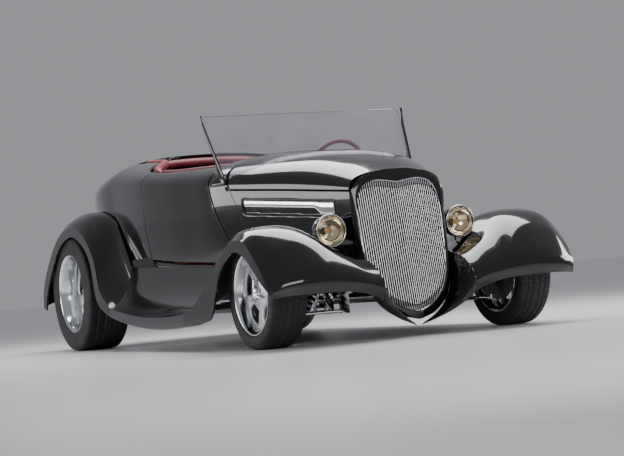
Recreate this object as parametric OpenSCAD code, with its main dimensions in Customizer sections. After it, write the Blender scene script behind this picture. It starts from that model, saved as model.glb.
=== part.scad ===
// Street rod roadster, millimetres. X forward, Y to the car's left, Z up, ground at Z = 0.
// The origin lies on the ground under the middle of the car's outline.

/* [Overall] */
// Length over the fenders
overall_l = 3820; // [3700:10:4000]
// Distance between the axles
wheelbase = 2845; // [2700:5:3000]
// From the front axle to the nose of the front fender
front_overhang = 452; // [430:1:480]
// Plan half width of the front fender lips
lip_front_y = 878; // [870:1:920]
// Plan half width of the rear fender lips
lip_rear_y = 822; // [818:1:850]

/* [Wheels] */
// Front tyre radius
tyre_f_r = 285; // [270:1:300]
// Front tyre width
tyre_f_w = 195; // [175:5:205]
// Front rim lip radius
rim_f_r = 214; // [190:1:225]
// Front wheel centre plane, from the car's centre plane
wheel_f_y = 702; // [690:1:710]
// Rear tyre radius
tyre_r_r = 365; // [340:1:375]
// Rear tyre width
tyre_r_w = 275; // [225:5:285]
// Rear rim lip radius
rim_r_r = 246; // [220:1:262]
// Rear wheel centre plane, from the car's centre plane
wheel_r_y = 660; // [650:1:664]
// Steering pivot, from the car's centre plane
kingpin_y = 585; // [570:1:600]

/* [Body] */
// Body shell wall
wall = 45; // [35:1:55]
// Door thickness
door_t = 60; // [45:1:70]
// Gap round doors, lids and the hood
gap = 6; // [5:0.5:9]
// Fender sheet with its folded edge
sheet = 10; // [8:0.5:14]
// Hood panel with its frame
hood_t = 16; // [12:1:22]

/* [Windshield] */
// Height of the glass top edge above ground
glass_top_z = 1258; // [1200:1:1300]
// Glass thickness
glass_t = 8; // [6:0.5:10]
// Half width of the glass at its top
glass_half_w = 612; // [590:1:625]

/* [Lights] */
// Headlight rim radius
lamp_r = 84; // [80:1:90]
// Headlight height above ground
lamp_z = 564; // [560:1:590]
// Headlight centre, from the car's centre plane
lamp_y = 372; // [360:1:390]

/* [Hidden] */

front_x = overall_l / 2 - front_overhang;
rear_x = front_x - wheelbase;
tail_x = -overall_l / 2;
mid_x = (front_x + rear_x) / 2;

// ---------- curves and shells ----------

// Slope at row i of a table whose first column is x.
function slope(tab, i) =
  let (a = max(0, i - 1), b = min(len(tab) - 1, i + 1))
  (tab[b] - tab[a]) / (tab[b][0] - tab[a][0]);

// Row of a table at x: a cubic that passes through every row.
function at_x(tab, x) =
  let (
    n = len(tab),
    i = max([0, for (k = [0 : n - 2]) if (x >= tab[k][0]) k]),
    h = tab[i + 1][0] - tab[i][0],
    t = min(1, max(0, (x - tab[i][0]) / h)),
    t2 = t * t,
    t3 = t2 * t
  )
  (2 * t3 - 3 * t2 + 1) * tab[i] + (t3 - 2 * t2 + t) * h * slope(tab, i)
  + (3 * t2 - 2 * t3) * tab[i + 1] + (t3 - t2) * h * slope(tab, i + 1);

// Row of a table at position p along its rows, 0 to len - 1, on a Catmull-Rom curve.
function row(tab, i) = tab[max(0, min(len(tab) - 1, i))];
function at_row(tab, p) =
  let (
    i = max(0, min(len(tab) - 2, floor(p))),
    t = p - i,
    a = row(tab, i - 1), b = row(tab, i), c = row(tab, i + 1), d = row(tab, i + 2)
  )
  0.5 * (2 * b + (c - a) * t + (2 * a - 5 * b + 4 * c - d) * t * t
         + (3 * b - a - 3 * c + d) * t * t * t);

function mix(a, b, t) = a + (b - a) * t;
function unit(v) = v / max(norm(v), 1e-9);

// Outward normals of a grid of points, from the spans between its neighbours.
function grid_normals(g) =
  let (n = len(g), m = len(g[0]))
  [for (i = [0 : n - 1]) [for (j = [0 : m - 1])
    unit(cross(
      g[min(n - 1, i + 1)][j] - g[max(0, i - 1)][j],
      g[i][min(m - 1, j + 1)] - g[i][max(0, j - 1)]))]];

function flat_list(g) = [for (r = g) for (p = r) p];

// Closed solid between two grids of the same size: outer skin, inner skin and four edge walls.
module between(outer, inner) {
  n = len(outer);
  m = len(outer[0]);
  s = n * m;
  function o(i, j) = i * m + j;
  function q(i, j) = s + i * m + j;
  faces = [
    for (i = [0 : n - 2]) for (j = [0 : m - 2]) each [
      [o(i, j), o(i, j + 1), o(i + 1, j + 1)], [o(i, j), o(i + 1, j + 1), o(i + 1, j)],
      [q(i, j), q(i + 1, j + 1), q(i, j + 1)], [q(i, j), q(i + 1, j), q(i + 1, j + 1)]],
    for (i = [0 : n - 2]) each [
      [o(i, 0), o(i + 1, 0), q(i + 1, 0)], [o(i, 0), q(i + 1, 0), q(i, 0)],
      [o(i + 1, m - 1), o(i, m - 1), q(i, m - 1)], [o(i + 1, m - 1), q(i, m - 1), q(i + 1, m - 1)]],
    for (j = [0 : m - 2]) each [
      [o(0, j + 1), o(0, j), q(0, j)], [o(0, j + 1), q(0, j), q(0, j + 1)],
      [o(n - 1, j), o(n - 1, j + 1), q(n - 1, j + 1)], [o(n - 1, j), q(n - 1, j + 1), q(n - 1, j)]]
  ];
  polyhedron(points = concat(flat_list(outer), flat_list(inner)), faces = faces, convexity = 8);
}

// Sheet of thickness t behind a grid whose normals, by the right-hand rule, face outwards.
module shell(g, t) {
  nrm = grid_normals(g);
  between(g, [for (i = [0 : len(g) - 1]) [for (j = [0 : len(g[0]) - 1]) g[i][j] - t * nrm[i][j]]]);
}

module both_sides() {
  children();
  mirror([0, 1, 0]) children();
}

// ---------- the body's outside surface ----------

dome_x = rear_x + 520;     // the tail starts to close here
dome_l = dome_x - tail_x;
dome_w = 652;
dome_belt = 980;
dome_top = 1165;
dome_fall = 90;            // how far belt and deck drop along the tail
plan_power = 2.2;          // 2 is an ellipse, more is boxier
top_power = 2.5;
lid_a = 49;                // section angle of the deck lid's edge, 0 belt, 90 centre
tuck = 26;                 // how far the lower edge lies inside the belt
grille_x = front_x + 137;
hood_back_x = front_x - 700;
door_front_x = front_x - 872;
door_rear_x = rear_x + 1102;

// Half width at the belt, belt height, height on the centre line, height of the lower edge.
body_rows = [
  [dome_x, dome_w, dome_belt, dome_top, 530],
  [rear_x + 1022, 676, 941, 1108, 520],
  [mid_x, 664, 908, 1070, 483],
  [mid_x + 300, 640, 883, 1048, 462],
  [front_x - 862, 610, 861, 1036, 443],
  [front_x - 642, 543, 838, 1022, 432],
  [front_x - 322, 424, 806, 986, 422],
  [front_x - 72, 330, 779, 925, 412],
  [grille_x, 262, 758, 852, 402]
];

function belt_z(x) = at_x(body_rows, x)[2];
function sill_z(x) = at_x(body_rows, x)[4];

// Lower edge of the tub: level, arched over the rear wheel.
arch_r = tyre_r_r + 68;
function tub_low(x) =
  max(530, tyre_r_r + sqrt(max(0, arch_r * arch_r - (x - rear_x) * (x - rear_x))));

// Point of the body's right side at x and a height at or below the belt.
function side_y(x, z) =
  let (r = at_x(body_rows, x), low = max(0, (r[2] - z) / (r[2] - r[4])))
  r[1] - tuck * low * low;

// Point of the section above the belt, a from 0 at the right belt over 90 at the centre to 180.
function top_point(x, a) =
  let (r = at_x(body_rows, x), c = cos(a), w = r[1] * pow(abs(c), 2 / top_power))
  [x, c > 0 ? -w : w, r[2] + (r[3] - r[2]) * pow(sin(a), 2 / top_power)];

// Angle of top_point at which the section reaches height z.
function top_angle(x, z) =
  let (r = at_x(body_rows, x), h = (z - r[2]) / (r[3] - r[2]))
  asin(min(0.99, pow(min(1, max(0, h)), top_power / 2)));

// Point of the right side at any height up to the rim.
function skin(x, z) = z > belt_z(x) ? top_point(x, top_angle(x, z)) : [x, -side_y(x, z), z];

// Tail: f is the plan angle, 0 right, 90 rearmost, 180 left.
// v runs from -1 at the lower edge over 0 at the belt to 1 at the top of the deck.
function tail_point(f, v) =
  let (
    a = 90 * max(0, v),
    rad = (1 - 0.04 * pow(min(0, v), 2)) * pow(cos(a), 2 / top_power),
    u = rad * pow(abs(sin(f)), 2 / plan_power),
    w = rad * pow(abs(cos(f)), 2 / plan_power),
    belt = dome_belt - dome_fall * u,
    top = dome_top - dome_fall * u
  )
  [dome_x - dome_l * u,
   f < 90 ? -dome_w * w : dome_w * w,
   v < 0 ? mix(belt, tub_low(dome_x - dome_l * u), -v)
         : belt + (top - belt) * pow(sin(a), 2 / top_power)];

// Height of the cockpit's rim.
rim_rows = [
  [dome_x, dome_belt + (dome_top - dome_belt) * pow(sin(lid_a), 2 / top_power)],
  [rear_x + 812, 1104],
  [rear_x + 1000, 1050],
  [rear_x + 1292, 1014],
  [mid_x + 200, 1000],
  [door_front_x, 986],
  [hood_back_x, 980]
];
function rim_z(x) = at_x(rim_rows, x)[1];

// Door, cowl and hood cuts: x of each at height z.
function front_cut(z) = door_front_x + 0.0008 * pow(max(0, 982 - z), 2);
function rear_cut(z) = door_rear_x + 0.0003 * pow(z - 850, 2);
function hood_cut(z) = front_x - 728 - 0.44 * (z - 919);

// Grid on the body's right side between two cuts, from the lower edge up to height top(x).
// Extra gap at the door's front edge, which swings forward as it opens.
swing = 2.5;
// The front row is moved back by bevel and the rear row on by a quarter of it.
function door_grid(n, m, edge, bevel = 0) =
  [for (i = [0 : n]) [for (j = [0 : m])
    let (
      xm = mix(rear_cut(800), front_cut(800), i / n),
      z = mix(sill_z(xm) + 6, rim_z(xm), j / m),
      x = mix(rear_cut(z) + edge, front_cut(z) - edge - swing, i / n)
        + (i == 0 ? bevel / 4 : i == n ? -bevel : 0)
    )
    skin(x, z)]];

function slice(g, i0, i1) = [for (i = [i0 : i1]) g[i]];

// A grid moved in along its normals.
function inset(g, t) =
  let (nrm = grid_normals(g))
  [for (i = [0 : len(g) - 1]) [for (j = [0 : len(g[0]) - 1]) g[i][j] - t * nrm[i][j]]];

function turned(g) = [for (i = [len(g) - 1 : -1 : 0]) g[i]];
function mirrored(g) = [for (r = turned(g)) [for (p = r) [p[0], -p[1], p[2]]]];

// ---------- body panels ----------

lid_v = lid_a / 90;
gap_v = 0.011;
deck_z = 530;  // lower edge of the tub

// Right half of the tub from the door's rear cut to the tail's middle, then the left half.
tub_right = concat(
  [for (i = [0 : 5])
    [for (j = [0 : 10])
      let (
        xm = mix(rear_cut(800), dome_x + 1, i / 5),
        z = j < 6 ? mix(530, belt_z(xm), j / 5) : mix(belt_z(xm), rim_z(xm), (j - 5) / 4),
        x = mix(rear_cut(z) - gap / 2, dome_x + 1, i / 5)
      )
      skin(x, z)]],
  [for (i = [1 : 12]) [for (j = [0 : 10]) tail_point(i * 7.5, j < 6 ? j / 5 - 1 : lid_v * (j - 5) / 4)]]
);
tub_grid = concat(tub_right, [for (i = [16 : -1 : 0]) [for (p = tub_right[i]) [p[0], -p[1], p[2]]]]);

// The top row only steadies the normals at the edge below it and is left off.
function columns(g, a, b) = [for (r = g) [for (j = [a : b]) r[j]]];
tub_all = turned(tub_grid);
tub_outer = columns(tub_all, 0, 9);
tub_inner_raw = inset(tub_all, wall);
// The lower edge stays level across the wall.
tub_inner = [for (i = [0 : len(tub_outer) - 1]) [for (j = [0 : 9])
  let (p = tub_inner_raw[i][j]) [p[0], p[1], j == 0 ? tub_outer[i][0][2] : p[2]]]];
module body_tub() color("#101012") between(tub_outer, tub_inner);

deck_grid = [for (i = [0 : 3]) [for (j = [-1 : 15])
  let (x = mix(dome_x + 8, dome_x - 40, i / 3), a = mix(lid_a + 0.25, 179.75 - lid_a, j / 14))
  x > dome_x ? top_point(x, a)
    : let (p = top_point(dome_x, a)) [x, p[1], p[2] - dome_fall * (dome_x - x) / dome_l]]];

module rear_deck() color("#101012")
  between(columns(turned(deck_grid), 1, 15), columns(inset(turned(deck_grid), wall - 5), 1, 15));

lid_rows = 10;
lid_grid = [for (i = [0 : lid_rows]) [for (j = [-7 : 7])
  let (
    f = mix(4.6, 86.5, i / lid_rows),
    edge = tail_point(f, lid_v + gap_v),
    y = -edge[1] * j / 7,
    u = (dome_x - edge[0]) / dome_l,
    rho = pow(pow(u, plan_power) + pow(abs(y) / dome_w, plan_power), 1 / plan_power),
    rise = pow(1 - pow(rho, top_power), 1 / top_power)
  )
  [edge[0], y, dome_belt - dome_fall * u + (dome_top - dome_belt) * rise]]];

module trunk_lid() color("#101012") shell(turned(lid_grid), hood_t);

module door_skin()
  between(door_grid(10, 9, gap / 2), inset(door_grid(10, 9, gap / 2, 9), 0.62 * door_t));
module door_lining()
  let (g = door_grid(10, 9, gap / 2 + 16))
  between(inset(g, 0.62 * door_t + 1.3), inset(g, door_t));

module door_right() color("#101012") door_skin();
module door_left() color("#101012") mirror([0, 1, 0]) door_skin();
module door_panel_right() color("#5a1620") door_lining();
module door_panel_left() color("#5a1620") mirror([0, 1, 0]) door_lining();

// Cowl: from the door's front cut to the hood's cut, over the top from sill to sill.
function cowl_point(i, j) =
  let (
    k = abs(j - 13),
    low = k > 7,
    a = low ? 0 : 90 - 90 * k / 7,
    zc = low ? mix(861, 443, (k - 7) / 6) : top_point(front_x - 800, a)[2],
    x0 = front_cut(min(zc, 982)) + gap / 2,
    x1 = hood_cut(zc) - gap / 2,
    x = mix(x0, x1, i / 3),
    p = low ? [x, -side_y(x, min(zc, belt_z(x))), zc] : top_point(x, a)
  )
  [p[0], j > 13 ? -p[1] : p[1], p[2]];
cowl_grid = [for (i = [0 : 3]) [for (j = [0 : 26]) cowl_point(i, j)]];

module cowl() color("#101012") shell(cowl_grid, 26);

// Hood top: between the belts.
hood_grid = [for (i = [0 : 12]) [for (j = [0 : 16])
  let (
    a = mix(0.25, 179.75, j / 16),
    x0 = hood_cut(top_point(hood_back_x, a)[2]) + gap / 2,
    x = mix(x0, grille_x - 5, i / 12)
  )
  top_point(x, a)]];
module hood_top() color("#101012") shell(hood_grid, hood_t);

side_low = 455;
hood_side_grid = [for (i = [0 : 10]) [for (j = [0 : 5])
  let (
    xm = mix(hood_back_x, grille_x, i / 10),
    z = mix(side_low, belt_z(xm) - gap - 0.5, j / 5),
    x = mix(hood_cut(z) - gap / 2 + 0.7, grille_x - 3, i / 10)
  )
  [x, -side_y(x, z), z]]];
module hood_side() shell(hood_side_grid, hood_t);
module hood_side_right() color("#101012") hood_side();
module hood_side_left() color("#101012") mirror([0, 1, 0]) hood_side();

// ---------- fenders and running boards ----------

// Sections of the right fender, from inner edge to crease, then the lower edge of the lip.
// X from the wheel's axle, Y as distance inside the lip plane, Z as height.
front_net = [
  [[-722, -286, 430], [-722, -268, 388], [-722, -238, 328], [-722, -185, 266],
   [-722, -125, 224], [-722, -60, 206], [-722, 0, 204], [-722, 0, 130]],
  [[-600, -372, 432], [-600, -325, 402], [-595, -268, 345], [-590, -205, 296],
   [-580, -135, 260], [-575, -62, 241], [-572, 0, 238], [-572, 0, 136]],
  [[-472, -423, 440], [-472, -352, 425], [-470, -285, 398], [-468, -215, 370],
   [-462, -135, 340], [-458, -62, 316], [-455, 0, 296], [-440, 0, 150]],
  [[-322, -473, 446], [-322, -385, 468], [-322, -298, 487], [-322, -208, 490],
   [-322, -118, 470], [-322, -45, 430], [-322, 0, 378], [-312, 0, 190]],
  [[-172, -523, 438], [-172, -435, 484], [-172, -338, 553], [-172, -238, 572],
   [-172, -130, 566], [-172, -36, 518], [-172, 0, 462], [-172, 0, 400]],
  [[0, -576, 432], [0, -486, 470], [0, -378, 562], [0, -278, 603],
   [0, -172, 609], [0, -56, 591], [0, 0, 538], [0, 0, 489]],
  [[148, -614, 418], [148, -535, 446], [148, -428, 500], [148, -318, 578],
   [148, -198, 598], [148, -66, 582], [148, 0, 540], [148, 0, 464]],
  [[278, -618, 392], [278, -552, 412], [278, -448, 462], [278, -335, 518],
   [278, -215, 531], [278, -78, 502], [278, -1, 440], [278, -1, 366]],
  [[372, -618, 340], [372, -558, 358], [372, -458, 398], [372, -338, 433],
   [372, -218, 435], [372, -90, 400], [368, -8, 335], [366, -8, 294]],
  [[430, -620, 262], [432, -565, 283], [437, -465, 314], [444, -345, 335],
   [442, -218, 336], [427, -100, 318], [405, -28, 285], [400, -26, 262]],
  [[402, -620, 192], [410, -565, 222], [428, -465, 248], [438, -345, 257],
   [436, -218, 259], [420, -105, 257], [398, -36, 250], [392, -36, 248]]
];

rear_net = [
  [[802, -158, 492], [802, -143, 425], [802, -115, 352], [802, -80, 305],
   [802, -38, 272], [802, 0, 258], [802, 0, 205]],
  [[690, -160, 640], [664, -138, 590], [645, -100, 520], [636, -58, 460],
   [634, -20, 412], [634, 0, 372], [580, 0, 300]],
  [[562, -163, 782], [540, -138, 752], [534, -98, 705], [538, -56, 658],
   [548, -20, 615], [552, 0, 580], [500, 0, 540]],
  [[382, -166, 842], [373, -140, 838], [368, -100, 820], [372, -54, 790],
   [378, -20, 755], [383, 0, 722], [345, 0, 668]],
  [[152, -195, 856], [148, -158, 862], [143, -110, 856], [143, -60, 834],
   [143, -22, 806], [143, 0, 774], [143, 0, 716]],
  [[-98, -262, 818], [-113, -208, 824], [-118, -140, 810], [-118, -76, 784],
   [-113, -28, 750], [-108, 0, 710], [-88, 0, 652]],
  [[-308, -366, 725], [-333, -290, 718], [-343, -190, 694], [-343, -100, 660],
   [-333, -34, 613], [-323, 0, 562], [-278, 0, 502]],
  [[-440, -505, 578], [-468, -400, 562], [-482, -262, 532], [-482, -130, 497],
   [-475, -40, 456], [-463, 0, 412], [-398, 0, 372]],
  [[-466, -600, 400], [-496, -480, 385], [-514, -320, 362], [-516, -160, 338],
   [-510, -50, 312], [-500, -2, 288], [-450, -2, 270]]
];

side_m = 12;  // spans across the crown
side_k = 2;   // spans down the lip

// Across a section, the crown is a smooth curve as far as the crease and the lip is straight.
function across(sec, origin, lip) =
  let (c = len(sec) - 2, crown = [for (r = [0 : c]) sec[r]])
  [for (j = [0 : side_m + side_k])
    let (q = j <= side_m ? at_row(crown, c * j / side_m)
                         : mix(sec[c], sec[c + 1], (j - side_m) / side_k))
    [origin + q[0], -lip - q[1], q[2]]];

// Running board row t, 0 at the front fender and 1 at the rear one.
board_front = across(at_row(front_net, 0), front_x, lip_front_y);
board_back = across(rear_net[0], rear_x, lip_rear_y);
function board_row(t) =
  [for (j = [0 : side_m + side_k])
    let (h = min(1, j / side_m), dip = 1 - pow(2 * t - 1, 2), p = mix(board_front[j], board_back[j], t))
    [p[0], p[1], p[2] - dip * (4 + 34 * h * h)]];

// The whole side in rows from the nose to the tail.
nose_n = 30;
board_n = 10;
tail_n = 26;
side_rows = concat(
  [for (i = [0 : nose_n]) across(at_row(front_net, 10 - 10 * i / nose_n), front_x, lip_front_y)],
  [for (i = [1 : board_n]) board_row(i / board_n)],
  [for (i = [1 : tail_n]) across(at_row(rear_net, 8 * i / tail_n), rear_x, lip_rear_y)]
);
side_inner = inset(side_rows, sheet);

// Rows a to b of the side as a solid, with each end drawn in by a hair.
function pull(p, q) = [for (k = [0 : len(p) - 1]) mix(p[k], q[k], 0.4 / norm(p[6] - q[6]))];
function pulled(g, a, b) =
  [for (i = [a : b])
    i == a && a > 0 ? pull(g[a], g[a + 1]) : i == b && b < len(g) - 1 ? pull(g[b], g[b - 1]) : g[i]];
module side_part(a, b) between(pulled(side_rows, a, b), pulled(side_inner, a, b));

fender_end = nose_n - 3;
board_end = nose_n + board_n;
module front_fender_right() color("#101012") side_part(0, fender_end);
module front_fender_left() color("#101012") mirror([0, 1, 0]) side_part(0, fender_end);
module running_board_right() color("#101012") side_part(fender_end, board_end);
module running_board_left() color("#101012") mirror([0, 1, 0]) side_part(fender_end, board_end);
module rear_fender_right() color("#101012") side_part(board_end, board_end + tail_n);
module rear_fender_left()
  color("#101012") mirror([0, 1, 0]) side_part(board_end, board_end + tail_n);

// Roll pan between the rear fenders, under the tail.
last_row = board_end + tail_n;
pan_grid = [for (i = [0 : 10]) [for (j = [0 : 2])
  let (
    s = 2 * i / 10 - 1,
    o = side_rows[last_row - j][0],
    n = side_inner[last_row - j][0],
    half = min(-o[1], -n[1]) - 0.9
  )
  [o[0] - (1 - s * s) * (18 + 6 * j), s * half, min(o[2], deck_z - 13)]]];
module rear_pan() color("#101012") shell(turned(pan_grid), sheet);

// ---------- grille shell, grille and apron ----------

// Right half of the grille opening, top centre to bottom tip: Y, Z, X before grille_x.
grille_edge = [
  [0, 786, 6], [60, 796, 4], [130, 800, 0], [195, 778, -4], [232, 715, -2], [240, 620, 6],
  [236, 500, 22], [227, 400, 40], [207, 300, 62], [160, 212, 84], [90, 156, 104], [12, 127, 122]
];
// The shell's outer edge beside each of those points.
shell_edge = [
  [0, 851, 0], [72, 848, 0], [150, 831, 0], [222, 795, 0], [259, 735, 0], [254, 620, 2],
  [249, 500, 14], [238, 390, 32], [226, 282, 56], [177, 184, 80], [102, 120, 104], [16, 92, 124]
];
function edge_point(tab, p) =
  let (e = at_row(tab, p)) [grille_x + e[2], -e[0], e[1]];
shell_half = [for (i = [0 : 22])
  let (a = edge_point(shell_edge, i / 2), b = edge_point(grille_edge, i / 2))
  [for (j = [0 : 4]) mix(a, b, j / 4) + [12 * sin(22.5 * j), 0, 0]]];
shell_grid = concat(
  [for (i = [22 : -1 : 1]) shell_half[i]],
  [for (i = [0 : 22]) [for (p = shell_half[i]) [p[0], -p[1], p[2]]]]
);
module grille_shell() color("#101012") shell(shell_grid, 14);

// Grille bars: each stands from the opening's lower edge to its upper edge, along the prow.
bar_pitch = 17;
bar_n = 13;
function low_row(y) =
  let (k = max([for (q = [5 : 10]) if (y <= grille_edge[q][0]) q]),
       t = (y - grille_edge[k + 1][0]) / (grille_edge[k][0] - grille_edge[k + 1][0]))
  mix(grille_edge[k + 1], grille_edge[k], min(1, max(0, t)));
function high_row(y) =
  let (k = max([for (q = [0 : 4]) if (y >= grille_edge[q][0]) q]),
       t = (y - grille_edge[k][0]) / (grille_edge[k + 1][0] - grille_edge[k][0]))
  mix(grille_edge[k], grille_edge[min(4, k + 1)], min(1, t));
function prow_x(y, z) = grille_x + 106 - 0.181 * (z - 122) + 28 * (1 - abs(y) / 240);
module bar(y) {
  lo = low_row(y)[1] + 4.2;
  hi = high_row(y)[1] - 4;
  translate([0, -y + 2, 0]) rotate([90, 0, 0]) linear_extrude(4) polygon([
    [prow_x(y, lo), lo], [prow_x(y, hi), hi], [prow_x(y, hi) - 14, hi], [prow_x(y, lo) - 14, lo]
  ]);
}
// Tie bar across both halves at height z, out to half width w.
module tie(z, w) translate([0, 0, z]) linear_extrude(6) polygon([
  [prow_x(w, z) - 4, -w], [prow_x(0, z) - 4, 0], [prow_x(w, z) - 4, w],
  [prow_x(w, z) - 12, w], [prow_x(0, z) - 12, 0], [prow_x(w, z) - 12, -w]
]);
module grille_bars() color("#c8cacc") {
  for (k = [0 : 11]) {
    bar(bar_pitch * k + 9);
    mirror([0, 1, 0]) bar(bar_pitch * k + 9);
  }
  tie(350, 213);
  tie(640, 240.1);
}

// Apron between the front fenders, from the grille shell's side to a low point in the middle.
apron_n = 11;
apron_grid = [for (i = [0 : apron_n]) [for (j = [0 : 6])
  let (
    o = side_rows[apron_n - i][0],
    n = side_inner[apron_n - i][0],
    e = edge_point(shell_edge, mix(6.6, 11, i / apron_n)),
    fall = max(0, i / apron_n - 0.75) * 4,
    side = max(o[1], n[1]),
    inner = [e[0] + 6, min(-1, max(side + 1.6, e[1] - 13 + 12 * fall)), e[2] - 8 - 24 * fall],
    t = j / 6,
    p = mix([o[0], side + 0.9, o[2]], inner, t)
  )
  [p[0] + 24 * sin(180 * t), p[1], p[2] - 10 * sin(180 * t)]]];
module front_apron() color("#101012") both_sides()
  between(apron_grid, [for (r = apron_grid) [for (p = r) p - [5, 0, 6]]]);

// ---------- frame, floor and inner structure ----------

rail_out = 345;
rail_in = 300;
rail_top = 330;
rail_low = 250;

module along_y(y0, y1) translate([0, y1, 0]) rotate([90, 0, 0]) linear_extrude(y1 - y0) children();
module rod(a, b, r)
  let (d = b - a)
  translate(a) rotate([0, acos(d[2] / norm(d)), atan2(d[1], d[0])]) cylinder(h = norm(d), r = r);

module frame_rails() color("#17171a") {
  both_sides() along_y(-rail_out, -rail_in) polygon([
    [rear_x - 400, deck_z - 12.6], [rear_x + 240, deck_z - 12.6], [rear_x + 430, rail_top],
    [front_x + 130, rail_top], [front_x + 130, rail_low + 20], [front_x + 90, rail_low],
    [rear_x + 400, rail_low], [rear_x + 210, deck_z - 90], [rear_x - 400, deck_z - 90]
  ]);
  for (x = [front_x - 50, front_x - 480, rear_x + 480])
    translate([x, -rail_in - 5, rail_low]) cube([90, 2 * rail_in + 10, rail_top - rail_low]);
  translate([rear_x - 390, -rail_in - 5, deck_z - 80]) cube([60, 2 * rail_in + 10, 60]);
  // Jacking pads.
  both_sides() for (x = [front_x - 900, rear_x + 450])
    translate([x, -rail_out, rail_low - 6]) cube([80, rail_out - rail_in, 6]);
}

module engine_block() color("#55575a")
  translate([front_x - 560, -210, rail_top + 0.3]) cube([500, 420, 450]);

// The floor lies on the rails; the rear floor is raised over the axle.
rear_floor = [[rear_x + 452, 620], [rear_x + 405, 600], [rear_x + 398, 505], [rear_x - 150, 505],
  [rear_x - 250, 440], [rear_x - 350, 360], [rear_x - 430, 270], [rear_x - 480, 170]];
floor_half = [[front_x - 575, 490], [front_x - 722, 585], [rear_x + 802, 650], [rear_x + 470, 640]];
module plate(half, z, t)
  translate([0, 0, z]) linear_extrude(t)
    polygon(concat(half, [for (i = [len(half) - 1 : -1 : 0]) [half[i][0], -half[i][1]]]));

module floor_pan() color("#1c1c1f") {
  plate(floor_half, rail_top + 0.3, 12);
  plate(rear_floor, deck_z - 12.3, 12);
  translate([rear_x + 440, -600, rail_top + 5]) cube([12, 1200, deck_z - rail_top - 10]);
}

// Rockers: walls between floor and body, with the running boards along them.
rocker_at = [27, 28.4, 28.5, 29, 30, 31, 32, 33, 34, 35, 36, 37, 37.66, 37.72, 38, 39, 39.7, 40];
rocker_grid = [for (s = rocker_at)
  let (
    a = floor(s) < 40 ? floor(s) : 39,
    p = mix(side_rows[a][0], side_rows[a + 1][0], s - a),
    q = mix(side_inner[a][0], side_inner[a + 1][0], s - a),
    top = s < 28.45 ? 442.6 : s < 37.7 ? p[2] + 6 : deck_z - 0.4
  )
  [for (j = [0 : 2]) [p[0], max(p[1], q[1]) + (s < 30 ? 4.4 : 1.1), mix(rail_top + 12.7, top, j / 2)]]];
module rockers() color("#101012") both_sides()
  between(turned(rocker_grid), [for (r = turned(rocker_grid)) [for (p = r) p + [0, 28, 0]]]);

// Wheel houses inside the tub, over the rear tyres.
module wheelhouses() color("#1c1c1f") both_sides() {
  along_y(-490, -480) intersection() {
    translate([rear_x, tyre_r_r]) circle(r = arch_r - 7);
    translate([rear_x - 500, deck_z + 0.4]) square([1000, 400]);
  }
  along_y(-585, -489) intersection() {
    difference() {
      translate([rear_x, tyre_r_r]) circle(r = arch_r - 7);
      translate([rear_x, tyre_r_r]) circle(r = arch_r - 17);
    }
    translate([rear_x - 500, deck_z + 0.4]) square([1000, 400]);
  }
}

// Firewall: closes the cowl in front of the cabin.
cowl_inner = inset(cowl_grid, 26.6);
wall_rows = [for (j = [0 : 12]) [for (k = [0 : 6])
  let (p = mix(cowl_inner[2][j], cowl_inner[3][j], 0.15)) [p[0], p[1] * (1 - k / 3), p[2]]]];
module firewall() color("#1c1c1f") shell(turned(wall_rows), 10);

// Dashboard: a padded panel under the cowl's rear edge.
dash_x = door_front_x + 8;
dash_t = 30;
dash_grid = [for (i = [0 : 1]) [for (j = [0 : 12])
  let (
    a = mix(24, 156, j / 12),
    p = top_point(door_front_x + 30, a)
  )
  [dash_x, p[1] * 0.9, i == 0 ? 800 : p[2] - 27.3]]];
module dashboard() color("#5a1620")
  between(dash_grid, [for (r = dash_grid) [for (p = r) p + [dash_t, 0, 0]]]);

// ---------- windshield ----------

rake = 26;
glass_top_x = front_x - 912;
function glass_x(z) = glass_top_x + (glass_top_z - z) * tan(rake);
function body_z(x, y) =
  let (r = at_x(body_rows, x), h = min(0.999, abs(y) / r[1]))
  r[2] + (r[3] - r[2]) * pow(1 - pow(h, top_power), 1 / top_power);
function glass_low(y) = max(926, body_z(glass_x(body_z(glass_x(1000), y)) - 6, y) + 2);
glass_foot = 0.94 * glass_half_w;
function glass_half(z) = mix(glass_foot, glass_half_w - 3, (z - 926) / (glass_top_z - 36 - 926));
module windshield_glass() color("#a9a4b4")
  translate([glass_top_x, 0, glass_top_z]) rotate([0, -rake, 0]) rotate([90, 0, 90])
    linear_extrude(glass_t) polygon(concat(
      [for (t = [-90 : 7.5 : 90])
        let (w = glass_foot * sin(t)) [w, -(glass_top_z - glass_low(w)) / cos(rake)]],
      [[glass_half_w - 3, -40], [glass_half_w - 8, -14], [glass_half_w - 32, -1],
       [0, 0], [32 - glass_half_w, -1], [8 - glass_half_w, -14], [3 - glass_half_w, -40]]
    ));

// Posts: fins that stand on the cowl's sides and taper up along the glass.
fin_rows = 9;
fin_grid = [for (i = [0 : 4]) [for (j = [0 : fin_rows])
  let (
    z = mix(866, glass_top_z + 2, pow(j / fin_rows, 0.8)),
    front = z < 960 ? mix(glass_x(z) + 26, front_x - 722, (960 - z) / 94) : glass_x(z) + 26,
    wide = 17 + 112 * pow(max(0, (1010 - z) / 144), 1.6) + 30 * (glass_top_z - z) / 400,
    x = mix(max(front_cut(z) + gap + 2, front - wide), front, i / 4),
    line = glass_half(z) + 0.7,
    body = skin(x, min(z, rim_z(x)))
  )
  [x, -max(line, abs(body[1]) + 3), z]]];
module fin() between([for (r = fin_grid) [for (p = r) p - [0, 11, 0]]], fin_grid);
module windshield_posts() color("#101012") both_sides() fin();

// ---------- lights ----------

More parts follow.
